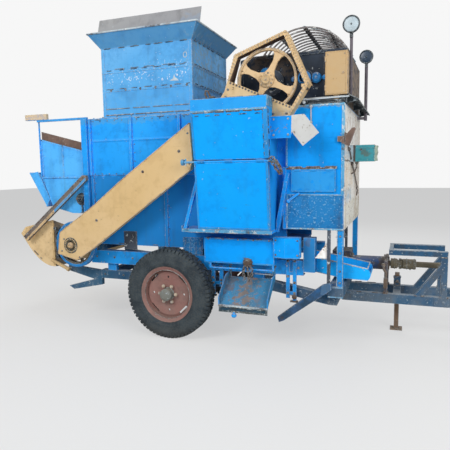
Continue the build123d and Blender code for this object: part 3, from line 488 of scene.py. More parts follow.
        chipLine=0.625, chipFine=0.7, chipColour=(150, 166, 172), rustLine=0.62, rust=0.6,
        rustColour=(132, 104, 84), seed=52,
        zones=[
            ((0.01, -0.81, 0.32), (0.105, -0.5, 0.6), 0.09, 0.8, (146, 116, 90)),
            ((0.16, -0.81, 0.33), (0.2, -0.72, 0.4), 0.05, 0.5, (122, 100, 88)),
            ((-0.12, -0.7, 0.42), (-0.05, -0.55, 0.56), 0.05, 0.6, (112, 88, 78)),
            ((-0.14, -0.82, 0.27), (0.28, -0.79, 0.331), 0.006, 0.9, (34, 56, 68)),
        ],
    ),
    "chuteDark": dict(
        paint=((38, 58, 68), (52, 76, 84), (30, 36, 40)), grime=0.4, chipLine=0.56,
        chipColour=(190, 200, 200), rust=0.4, seed=53,
    ),
    "rimWorn": dict(
        paint=((170, 188, 196), (196, 206, 208), (90, 130, 170)), mottle=0.7, grime=0.4, chipLine=0.56,
        chipColour=(240, 242, 240), rustLine=0.55, rust=0.9, rustColour=(92, 84, 80), rough=0.55, seed=56,
    ),
    "edgeWorn": dict(
        paint=((70, 150, 200), (110, 172, 206), (48, 88, 116)), mottle=0.8, chipLine=0.555,
        chipColour=(204, 214, 216), rustLine=0.57, rust=0.8, rustColour=(84, 74, 68), rough=0.55, seed=58,
    ),
    "weldDark": dict(
        paint=((62, 70, 82), (84, 92, 104), (44, 42, 46)), chipLine=0.58, chipColour=(196, 204, 208),
        rust=0.6, rough=0.7, seed=60,
    ),
    "weldRust": dict(
        paint=((78, 62, 56), (98, 80, 70), (48, 42, 42)), chipLine=0.58, chipColour=(190, 186, 176),
        rust=0.7, rough=0.75, seed=62,
    ),
    "nutCream": dict(
        paint=((196, 178, 156), (214, 202, 186), (146, 112, 96)), chipColour=(110, 78, 62), rough=0.55,
        seed=64,
    ),
    "hubGrey": dict(paint=((104, 108, 104), (126, 128, 122), (72, 74, 72)), grime=0.5, seed=68),
    "blackWorn": dict(
        paint=((36, 44, 50), (52, 60, 66), (24, 26, 30)), chipLine=0.585, chipColour=(150, 164, 170),
        rust=0.4, rough=0.55, seed=70,
    ),
    "edgeBlue": dict(
        paint=((16, 136, 214), (40, 150, 220), (20, 90, 146)), lowDust=0.05, chipLine=0.625,
        chipColour=(160, 196, 214), rust=0.4, rub=0.4, rubColour=(130, 180, 206), rough=0.5, seed=59,
    ),
    "dashNavy": dict(
        paint=((26, 48, 70), (44, 84, 120), (22, 28, 38)), chipColour=(150, 178, 196), rust=0.3, rough=0.7,
        seed=61,
    ),
    "seamWorn": dict(
        paint=((96, 84, 78), (150, 142, 130), (34, 38, 44)), grime=0.2, chipLine=0.57,
        chipColour=(222, 216, 202), rough=0.75, seed=63,
    ),
    "silverRod": dict(
        paint=((176, 190, 200), (206, 214, 218), (80, 100, 120)), chipLine=0.59, rust=0.4, rough=0.35,
        shine=0.6, seed=72,
    ),
    "brownPlate": dict(
        paint=((116, 94, 84), (130, 108, 96), (84, 68, 62)), chipLine=0.61, chipColour=(160, 144, 132),
        rust=0.4, rough=0.8, seed=74,
    ),
    "strutBrown": dict(
        paint=((112, 100, 92), (130, 118, 108), (72, 66, 66)), grime=0.4, chipColour=(170, 160, 146),
        rough=0.7, seed=76,
    ),
    "strutBlue": dict(
        paint=((66, 140, 200), (92, 160, 212), (74, 104, 130)), chipColour=(170, 190, 200), rust=0.4,
        seed=77,
    ),
    "creamEdge": dict(
        paint=((204, 172, 126), (216, 186, 144), (150, 120, 84)), chipLine=0.575, chipColour=(96, 78, 62),
        rust=0.4, seed=78,
    ),
    "ringOlive": dict(
        paint=((66, 62, 48), (86, 80, 60), (40, 38, 34)), chipLine=0.58, chipColour=(176, 158, 122),
        rough=0.7, seed=79,
    ),
    "blueBearing": dict(
        paint=((22, 122, 196), (46, 142, 208), (28, 72, 112)), grime=0.4, rough=0.45, seed=80,
    ),
    # White specks: real chips, and on the cage rods also painted glints
    "whiteSpeckAndPaintedGlint": dict(
        paint=((104, 132, 148), (150, 164, 170), (62, 66, 72)), chipLine=0.54, chipColour=(226, 230, 228),
        seed=82,
    ),
    # Painted reflection: the near lamp's lens painted pale; the same pale finish serves the bare flakes on
    # the hopper
    "paleFlakeAndLensReflection": dict(
        paint=((184, 200, 208), (196, 210, 216), (150, 168, 178)), grime=0.2, chipLine=0.66,
        chipColour=(70, 70, 76), rust=0, rough=0.25, shine=0.5, seed=84,
    ),
    # Painted shade: the far lamp's lens painted dark, a shaded copy of the lens
    "lensPaintedShade": dict(
        paint=((26, 48, 70), (40, 64, 86), (20, 32, 48)), grime=0.2, chipLine=0.62,
        chipColour=(120, 140, 150), rust=0, rough=0.25, shine=0.5, seed=86,
    ),
}
materials = {name: wornFinish(name, s) for name, s in finishes.items()}


def tyreFinish():
    p = Paint("tyreRubber")
    middle = p.noise(9, 4)
    fine = p.noise(80, 3, shift=4)
    tint = p.blend(p.step(middle, 0.35, 0.65), shade(44, 52, 58), shade(58, 68, 74))
    tint = p.blend(p.step(fine + middle * 0.5, 0.62, 0.95) * 0.45, tint, shade(84, 86, 84))
    tint = p.blend(p.step(p.z, 0.16, 0.0) * 0.35, tint, shade(98, 96, 90))
    bump = p.node("Bump", {}, {"Strength": 0.3, "Distance": 0.003, "Height": fine * 0.5 + middle})
    shader = p.node(
        "BsdfPrincipled",
        {},
        {"Base Color": tint, "Roughness": 0.82 + fine * 0.1, "Normal": bump, "Specular IOR Level": 0.25},
    )
    return p.finish(shader)


materials["tyreRubber"] = tyreFinish()
print("finishes made")

nodeFinish = {
    "blueNear": ["cabinet_case", "cabinet_top", "cabinet_door"],
    "skirtBlue": ["skirt_box", "return_box"],
    "trayBlueWithPaintedLight": ["sieve_tray"],
    "braceBlue": ["braces"],
    "blueHopper": ["hopper_sides", "hopper_ends"],
    "bodyBlue": [
        "body_side_near", "body_side_far", "rear_frame", "body_deck", "body_floor", "body_rear_wall",
    ],
    "rearBlue": ["rear_sides", "rear_lip"],
    "strutBrown": ["rear_strut"],
    "railBlue": ["body_rails", "rail_stands", "front_posts"],
    "blueFront": ["front_near_side", "front_far_side", "front_flap"],
    "blueFrame": [
        "running_rails", "cross_bars", "rear_beams", "drawbar_rails", "drawbar_nose", "leg_sleeve",
        "draw_frames", "axle_beam", "front_cross",
    ],
    "creamWorn": ["belt_guard", "pulley_guard", "cream_box"],
    "pulleyCream": ["drive_pulley"],
    "bootCream": ["boot"],
    "webGrey": ["boot_pulley"],
    "faceWorn": ["front_face"],
    "redRim": ["rim_near", "rim_far"],
    "shaftGrime": ["input_shaft"],
    "legRust": ["parking_leg"],
    "tubeBlue": ["input_bearing"],
    "drumBlue": ["drum"],
    "cageSteel": ["drum_cage"],
    "lampGrey": ["lamps"],
    "darkNavyAndPaintedShade": ["drum_housing"],
    "tealPaint": ["teal_box"],
    "whitePlate": ["blank_plate"],
    "boardGrey": ["hopper_board"],
    "chuteWorn": ["discharge_chute"],
    "tyreRubber": ["tyre_near", "tyre_far"],
}
for finishName, names in nodeFinish.items():
    for name in names:
        nodes[name].data.materials.clear()
        nodes[name].data.materials.append(materials[finishName])
unpainted = sorted(set(nodes) - {n for names in nodeFinish.values() for n in names})
print("nodes without a finish:", unpainted)


def frameAlong(direction):
    ahead = Vector(direction).normalized()
    helper = Vector((0, 0, 1)) if abs(ahead.z) < 0.9 else Vector((1, 0, 0))
    side = ahead.cross(helper).normalized()
    return side, side.cross(ahead)


def circle(centre, side, over, radius, count):
    angles = [2 * math.pi * i / count for i in range(count)]
    return [centre + (side * math.cos(a) + over * math.sin(a)) * radius for a in angles]


# Points on a circle about a line along y
def around(centre, radius, count, turn=0):
    angles = [2 * math.pi * k / count + turn for k in range(count)]
    return [Vector(centre) + Vector((math.cos(a), 0, math.sin(a))) * radius for a in angles]


def steps(low, high, count):
    return [low + (high - low) * i / (count - 1) for i in range(count)]


toNear, toFar = (0, -1, 0), (0, 1, 0)
toFront, toBack = (1, 0, 0), (-1, 0, 0)
upright, down = (0, 0, 1), (0, 0, -1)


# Draws one piece after the other in the machine's own frame, so that a texture runs on from piece to piece
class Bench:
    def __init__(self):
        self.bm = bmesh.new()

    # Skin over rows of points, capped at both ends unless the last row joins the first
    def skin(self, rows, closed=False):
        rings = [[self.bm.verts.new(q) for q in row] for row in rows]
        pairs = list(zip(rings, rings[1:] + rings[:1]))
        for one, two in pairs if closed else pairs[:-1]:
            for i in range(len(one)):
                j = (i + 1) % len(one)
                self.bm.faces.new((one[i], one[j], two[j], two[i]))
        if not closed:
            self.bm.faces.new(rings[0][::-1])
            self.bm.faces.new(rings[-1])

    # Box between two opposite corners
    def block(self, low, high):
        (x0, y0, z0), (x1, y1, z1) = low, high
        self.skin([[(x0, y0, z), (x1, y0, z), (x1, y1, z), (x0, y1, z)] for z in (z0, z1)])

    def blocks(self, *corners):
        for low, high in corners:
            self.block(low, high)

    # Flat outline pushed from low to high along one axis
    def plate(self, outline, low, high, axis="y"):
        def at(a, b, c):
            return {"x": (c, a, b), "y": (a, c, b), "z": (a, b, c)}[axis]

        self.skin([[at(a, b, c) for a, b in outline] for c in (low, high)])

    # Turned shape: rows of (radius, distance along the axis) from centre outward
    def turned(self, centre, rows, sides=24, out=toNear, closed=False):
        centre, ahead = Vector(centre), Vector(out).normalized()
        side, over = frameAlong(ahead)
        rings = [circle(centre + ahead * along, side, over, radius, sides) for radius, along in rows]
        self.skin(rings, closed)

    def rod(self, start, end, radius, sides=10):
        start, end = Vector(start), Vector(end)
        self.turned(start, [(radius, 0), (radius, (end - start).length)], sides, end - start)

    def tube(self, points, radius, sides=8, closed=False):
        points = [Vector(q) for q in points]
        count = len(points)
        rows, side = [], None
        for i, here in enumerate(points):
            before = points[i - 1] if closed or i else here
            after = points[(i + 1) % count] if closed or i < count - 1 else here
            ahead = (after - before).normalized()
            if side is None:
                side = frameAlong(ahead)[0]
            side = (side - ahead * side.dot(ahead)).normalized()
            rows.append(circle(here, side, ahead.cross(side), radius, sides))
        self.skin(rows, closed)

    # Hexagon head on a washer, standing on a surface and pointing out of it
    def bolt(self, place, size, out=toNear):
        for sides, rows in (
            (12, ((0.95, 0), (0.95, 0.15))),
            (6, ((0.62, 0.14), (0.62, 0.55), (0.5, 0.66))),
            (8, ((0.34, 0.6), (0.34, 0.95))),
        ):
            self.turned(place, [(size * radius, size * along) for radius, along in rows], sides, out)

    def rivet(self, place, size, out=toNear):
        self.turned(place, [(size, 0), (size * 0.85, size * 0.4), (size * 0.4, size * 0.65)], 8, out)

    # Weld bead: a lumpy thin tube along a line, with gaps where the welder stopped
    def bead(self, start, end, radius, run, gap, rng):
        start, end = Vector(start), Vector(end)
        length = (end - start).length
        ahead = (end - start) / length
        at = rng.uniform(0, gap)
        while at < length:
            stop = min(at + run * rng.uniform(0.6, 1.3), length)
            line = []
            for t in steps(at, stop, max(2, int((stop - at) / 0.012))):
                wobble = Vector([rng.uniform(-1, 1) for _ in range(3)]) * radius * 0.3
                line.append(start + ahead * t + wobble)
            self.tube(line, radius, 6)
            at = stop + gap * rng.uniform(0.5, 1.5)

    # Bead along x
    def seam(self, lowX, highX, y, z, radius, run, gap, rng):
        self.bead((lowX, y, z), (highX, y, z), radius, run, gap, rng)

    # Strip that lies on a sloping face: from one (y, z) point to another, between two x
    def strip(self, start, end, lowX, highX, thick):
        (y0, z0), (y1, z1) = start, end
        length = math.hypot(y1 - y0, z1 - z0)
        outY, outZ = -(z1 - z0) / length * thick, (y1 - y0) / length * thick
        self.plate([(y0, z0), (y0 + outY, z0 + outZ), (y1 + outY, z1 + outZ), (y1, z1)], lowX, highX, "x")

    # A chain of oval links that follows a line of points
    def chain(self, points, link, wire):
        points = [Vector(q) for q in points]
        marks = []
        for a, b in zip(points, points[1:]):
            count = max(1, round((b - a).length / (link * 0.72)))
            marks += [a.lerp(b, i / count) for i in range(count)]
        marks.append(points[-1])
        for k, (a, b) in enumerate(zip(marks, marks[1:])):
            ahead = (b - a).normalized()
            side = frameAlong(ahead)[k % 2]
            angles = [2 * math.pi * i / 10 for i in range(10)]
            oval = [ahead * math.cos(t) * link / 2 + side * math.sin(t) * link * 0.32 for t in angles]
            self.tube([(a + b) / 2 + q for q in oval], wire, 6, closed=True)

    def door(self, lowX, highX, lowZ, highZ, y):
        self.block((lowX, y, lowZ), (highX, y + 0.003, highZ))
        self.block((lowX + 0.03, y + 0.003, lowZ + 0.03), (highX - 0.03, y + 0.007, highZ - 0.03))
        for x in (lowX + 0.06, highX - 0.06):
            self.rod((x - 0.03, y + 0.006, highZ + 0.004), (x + 0.03, y + 0.006, highZ + 0.004), 0.008)

    # Makes what was drawn a piece of the machine that rides on a body, and clears the bench for the next
    def place(self, name, finish, body="chassis", bevel=0, slot=None, replaces=()):
        bmesh.ops.recalc_face_normals(self.bm, faces=self.bm.faces)
        mesh = bpy.data.meshes.new(name)
        self.bm.to_mesh(mesh)
        self.bm.clear()
        mesh.materials.append(materials[finish])
        piece = bpy.data.objects.new(name, mesh)
        bpy.context.scene.collection.objects.link(piece)
        if bevel:
            soft = piece.modifiers.new("softEdges", "BEVEL")
            soft.width, soft.segments, soft.limit_method = bevel, 2, "ANGLE"
        else:
            mesh.polygons.foreach_set("use_smooth", [True] * len(mesh.polygons))
            mesh.set_sharp_from_angle(angle=math.radians(35))
        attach(piece, body)
        if replaces:
            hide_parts(*replaces)


p = Bench()


# Tyres: ribbed shoulders, two rows of blocks, rings on the sidewalls
tyreSettings = {
    "hub": (-0.6, 0.38),
    "middle": 0.715,
    "radius": 0.38,
    "bead": 0.214,
    "shoulderRibs": 66,
    "blocks": 44,
    "tread": 0.012,
}


def makeTyre(side, s):
    centre = Vector((s["hub"][0], side * s["middle"], s["hub"][1]))
    radius, bead, base = s["radius"], s["bead"], s["radius"] - s["tread"]
    flank = [
        (bead, 0.052), (bead + 0.006, 0.06), (0.236, 0.072), (0.246, 0.0795), (0.262, 0.0825),
        (0.266, 0.0845), (0.272, 0.0845), (0.276, 0.083), (0.296, 0.0845), (0.316, 0.0835), (0.33, 0.081),
        (0.344, 0.076),
        (0.356, 0.069), (base - 0.003, 0.06), (base, 0.05), (base + 0.001, 0.02),
    ]
    rows = flank + [(r, -along) for r, along in flank[::-1]]
    inside = [(bead, -0.05), (bead + 0.02, -0.045), (0.33, -0.05), (0.33, 0.05), (bead + 0.02, 0.045)]
    p.turned(centre, rows + inside, 120, toFar, closed=True)
    wide = math.pi * radius / s["shoulderRibs"] * 0.68
    shoulder = [(0.352, 0.0725), (0.366, 0.069), (radius - 0.001, 0.06), (radius, 0.046)]
    shoulder.append((base - 0.004, 0.046))
    for k in range(s["shoulderRibs"]):
        turn = Matrix.Rotation(-2 * math.pi * (k + 0.5) / s["shoulderRibs"], 3, "Y")
        for end in (-1, 1):
            p.skin([[centre + turn @ Vector((r, end * y, z)) for r, y in shoulder] for z in (-wide, wide)])
    top = ((-0.018, -0.017), (0.018, -0.017), (0.018, 0.017), (-0.018, 0.017))
    for row, rowY in enumerate((-0.024, 0.024)):
        for k in range(s["blocks"]):
            roll = Matrix.Rotation(-2 * math.pi * (k + row / 2) / s["blocks"], 3, "Y")
            turn = roll @ Matrix.Rotation(math.radians(18 - 36 * row), 3, "X")
            start = centre + roll @ Vector((radius, 0, 0)) + Vector((0, rowY, 0))
            p.skin([[start + turn @ Vector((x, y, z)) for y, z in top] for x in (-0.016, -0.0005)])
    where = "near" if side < 0 else "far"
    p.place("tyre-" + where, "tyreRubber", "wheel_" + where, slot="tyre", replaces=["tyre_" + where])


# Wheel trim: nuts, hub cap rings, valve
trimSettings = {
    "nuts": 6,
    "nutRing": 0.074,
    "faceDepth": 0.048,
}


def makeWheelTrim(side, s):
    hubX, hubZ = tyreSettings["hub"]
    where = "near" if side < 0 else "far"
    out = Vector((0, side, 0))
    centre = Vector((hubX, side * tyreSettings["middle"], hubZ))
    for spot in around(centre + out * s["faceDepth"], s["nutRing"], s["nuts"]):
        p.turned(spot, [(0.0155, 0), (0.0155, 0.01), (0.012, 0.014)], 6, out)
        p.turned(spot, [(0.0075, 0.01), (0.0075, 0.021), (0.005, 0.023)], 10, out)
    p.place("wheelNuts-" + where, "nutCream", "wheel_" + where)
    cap = [(0.052, 0.034), (0.055, 0.036), (0.055, 0.042), (0.05, 0.044), (0.0495, 0.088), (0.051, 0.09),
           (0.051, 0.094), (0.046, 0.0985), (0.03, 0.1005), (0.012, 0.102), (0.001, 0.102)]
    p.turned(centre, cap, 32, out)
    for spot in around(centre + out * 0.098, 0.036, 4, math.pi / 4):
        p.bolt(spot, 0.007, out)
    p.place("hubCap-" + where, "hubGrey", "wheel_" + where)
    valve = centre + Vector((math.cos(2.2), 0, math.sin(2.2))) * 0.192 + out * 0.022
    p.tube([valve, valve + out * 0.018, valve + out * 0.034 + Vector((0.006, 0, -0.01))], 0.0045)
    ring = [(0.2045, 0.056), (0.2075, 0.0595), (0.2075, 0.064), (0.2045, 0.066)]
    p.turned(centre, ring, 64, out, closed=True)
    p.place("valve-" + where, "cageSteel", "wheel_" + where)


for side in (-1, 1):
    makeTyre(side, tyreSettings)
    makeWheelTrim(side, trimSettings)
print("wheels dressed")


# Hopper trim: rolled rim, lapped seams with weld beads, bolts, corner angles
hopperSettings = {
    "rear": -1.32, "front": -0.44, "near": -0.52, "far": 0.29,
    "bend": 2.478, "rim": 2.598, "flare": 0.085, "foot": 1.88,
    "seams": (2.128, 2.287),
    "rimTube": 0.007,
    "boltSize": 0.011,
}


def makeHopperTrim(s):
    rng = random.Random(3)
    rear, front, near, far, flare, foot, bend = (
        s[k] for k in ("rear", "front", "near", "far", "flare", "foot", "bend")
    )
    seam1, seam2 = s["seams"]
    lowX, highX, lowY, highY = rear - flare, front + flare, near - flare, far + flare
    corners = [(x, y, s["rim"]) for x, y in ((lowX, lowY), (highX, lowY), (highX, highY), (lowX, highY))]
    for i in range(4):
        p.tube([corners[i], corners[(i + 1) % 4]], s["rimTube"])
    p.place("hopperRim", "rimWorn")
    for seam in s["seams"]:
        low = seam - 0.022
        for y, way in ((near, -1), (far, 1)):
            p.block((rear, y, low), (front, y + way * 0.0035, seam))
        for x, way in ((rear, -1), (front, 1)):
            p.block((x, near, low), (x + way * 0.0035, far, seam))
    for x, way in ((rear, -1), (front, 1)):
        for y, turn in ((near, -1), (far, 1)):
            p.blocks(
                ((x, y, foot), (x + way * 0.003, y - turn * 0.03, bend)),
                ((x, y, foot), (x - way * 0.03, y + turn * 0.003, bend)),
            )
    p.blocks(
        ((rear - 0.03, near - 0.03, foot), (front + 0.03, near, foot + 0.004)),
        ((rear - 0.03, far, foot), (front + 0.03, far + 0.03, foot + 0.004)),
        ((rear - 0.03, near, foot), (rear, far, foot + 0.004)),
        ((front, near, foot), (front + 0.03, far, foot + 0.004)),
    )
    p.place("hopperLaps", "blueHopper", bevel=0.0012)
    for height in (bend, seam1 + 0.001, seam2 + 0.001):
        for y in (near - 0.0045, far + 0.0045):
            p.seam(rear + 0.02, front - 0.02, y, height, 0.0036, 0.065, 0.06, rng)
        for x in (front + 0.0045, rear - 0.0045):
            p.bead((x, near + 0.02, height), (x, far - 0.02, height), 0.004, 0.05, 0.05, rng)
    p.place("hopperWelds", "dashNavy")
    for x0, x1, y, z, radius, run, gap in (
        (rear + 0.02, front - 0.02, near - 0.003, 1.958, 0.0034, 0.2, 0.03),
        (rear + 0.02, front - 0.02, near - 0.003, 1.905, 0.0044, 0.3, 0.02),
        (rear + 0.1, front - 0.05, near - 0.004, seam2 + 0.012, 0.0024, 0.1, 0.06),
    ):
        p.seam(x0, x1, y, z, radius, run, gap, rng)
    p.place("hopperSeams", "seamWorn")
    for x in steps(rear + 0.09, front - 0.05, 6):
        for y, out in ((near - 0.0035, toNear), (far + 0.0035, toFar)):
            p.bolt((x, y, seam1 - 0.01), s["boltSize"], out)
    for z in (seam1 - 0.01, seam2 - 0.01, bend + 0.012):
        lift = 0.0135 if z > bend else 0.0035
        for y in steps(near + 0.05, far - 0.05, 15):
            p.rivet((front + lift, y, z), 0.0055, toFront)
            p.rivet((rear - lift, y, z), 0.0055, toBack)
    for x in steps(rear, front, 7):
        p.bolt((x, near - 0.016, foot + 0.004), 0.01, upright)
    p.place("hopperBolts", "weldDark")


makeHopperTrim(hopperSettings)


# Two bare spots on the hopper's near wall: a flake and a ring
def makeHopperFlakes(s):
    y = s["near"]
    flake = [(-0.652, 2.16), (-0.566, 2.157), (-0.58, 2.176), (-0.6, 2.186), (-0.607, 2.212), (-0.618, 2.18)]
    p.plate(flake, y - 0.0012, y)
    angles = [2 * math.pi * i / 16 for i in range(16)]
    ring = [(-0.502 + 0.016 * math.cos(a), y - 0.0005, 2.361 + 0.021 * math.sin(a)) for a in angles]
    p.tube(ring, 0.0035, 6, closed=True)
    p.place("hopperFlakes", "paleFlakeAndLensReflection")


makeHopperFlakes(hopperSettings)
print("hopper dressed")


# Leaning cabinet: edge angles, hinge knuckles, pin with its handle, chain, worn lips
cabinetSettings = {
    "rear": -0.31, "front": 0.292,
    "pin": (-0.818, 1.468),
    "foot": (-0.769, 0.941),
    "doorTop": (-0.8225, 1.46),
    "panelFoot": (-0.815, 1.486),
    "panelTop": (-0.8675, 1.84),
    "knuckles": (-0.25, -0.02, 0.23),
    "pinReach": (-0.4, 0.345),
}


def makeCabinetTrim(s):
    rng = random.Random(11)
    rear, front = s["rear"], s["front"]
    pinY, pinZ = s["pin"]
    p.strip(s["panelFoot"], s["panelTop"], front - 0.03, front + 0.001, 0.004)
    p.strip(s["panelFoot"], s["panelTop"], rear - 0.001, rear + 0.014, 0.003)
    p.place("panelEdges", "edgeBlue", bevel=0.001)
    p.blocks(
        ((rear, -0.8738, 1.838), (front + 0.001, -0.866, 1.85)),
        ((front - 0.01, -0.8735, 1.862), (front + 0.003, -0.712, 1.937)),
        ((-0.452, -0.7715, 0.911), (0.301, -0.768, 0.938)),
        ((-0.4525, -0.771, 0.936), (-0.448, -0.64, 0.962)),
    )
    p.place("cabinetAngles", "edgeWorn", bevel=0.001)
    p.seam(rear + 0.01, front - 0.01, -0.8645, 1.836, 0.0068, 0.09, 0.02, rng)
    p.seam(-0.44, 0.295, -0.766, 0.9115, 0.0045, 0.16, 0.05, rng)
    p.place("cabinetWelds", "seamWorn")
    # Painted shadow: the dark dashed line just under the header
    p.seam(rear + 0.03, front - 0.04, -0.864, 1.812, 0.0034, 0.045, 0.05, rng)
    p.seam(rear + 0.01, front - 0.01, -0.8668, 1.9355, 0.004, 0.2, 0.03, rng)
    p.bead((front - 0.031, -0.8185, 1.5), (front - 0.031, -0.8655, 1.83), 0.0042, 0.035, 0.03, rng)
    p.bead((front + 0.002, -0.79, 1.48), (front + 0.002, -0.84, 1.84), 0.004, 0.06, 0.03, rng)
    p.place("cabinetDashes", "dashNavy")
    p.strip(s["foot"], s["doorTop"], front - 0.02, front - 0.003, 0.003)
    p.strip(s["foot"], s["doorTop"], rear + 0.003, rear + 0.016, 0.003)
    p.strip(s["foot"], (-0.77, 0.955), rear + 0.003, front - 0.003, 0.004)
    for x in s["knuckles"]:
        p.rod((x - 0.03, pinY, pinZ), (x + 0.03, pinY, pinZ), 0.0135, 12)
    p.place("doorLips", "edgeBlue", "cabinet_door", bevel=0.001)
    low, high = s["pinReach"]
    p.rod((low, pinY, pinZ), (rear + 0.004, pinY, pinZ), 0.0085)
    p.rod((front - 0.004, pinY, pinZ), (high, pinY, pinZ), 0.0085)
    p.turned((low, pinY, pinZ), [(0.022, -0.004), (0.025, 0.002), (0.025, 0.014), (0.018, 0.018)], 20, toBack)
    p.rod((low + 0.018, pinY, pinZ + 0.028), (low + 0.018, pinY, pinZ - 0.03), 0.007, 8)
    p.turned((high - 0.012, pinY, pinZ), [(0.018, 0), (0.018, 0.008)], 16, toFront)
    p.place("doorPin", "edgeWorn", "cabinet_door")
    loop = [(0.3, -0.836, 1.482), (0.318, -0.838, 1.494), (0.338, -0.832, 1.482), (0.357, -0.824, 1.455),
            (0.372, -0.812, 1.425), (0.38, -0.8, 1.398), (0.366, -0.806, 1.384), (0.35, -0.818, 1.405),
            (0.338, -0.83, 1.435), (0.322, -0.836, 1.455), (0.306, -0.836, 1.462)]
    p.chain(loop, 0.03, 0.0042)
    p.chain([(q[0] + 0.008, q[1] - 0.01, q[2] - 0.012) for q in loop[2:8]], 0.03, 0.0042)
    p.place("doorChain", "rustySteel", "cabinet_door")


makeCabinetTrim(cabinetSettings)
print("side cabinet dressed")


# Front cabinet: lower sheet, worn rails, hatch trim, rods on the top frame, brackets at the corner
frontSettings = {
    "front": 0.812, "near": -0.6,
    "hatch": (0.413, 0.751, 1.229, 1.402),
    "lowSheet": (0.376, 0.808, 0.944, 1.206),
    "topFrame": (0.515, 0.826, 1.882, 1.925),
    "hoodRibs": 9,
}


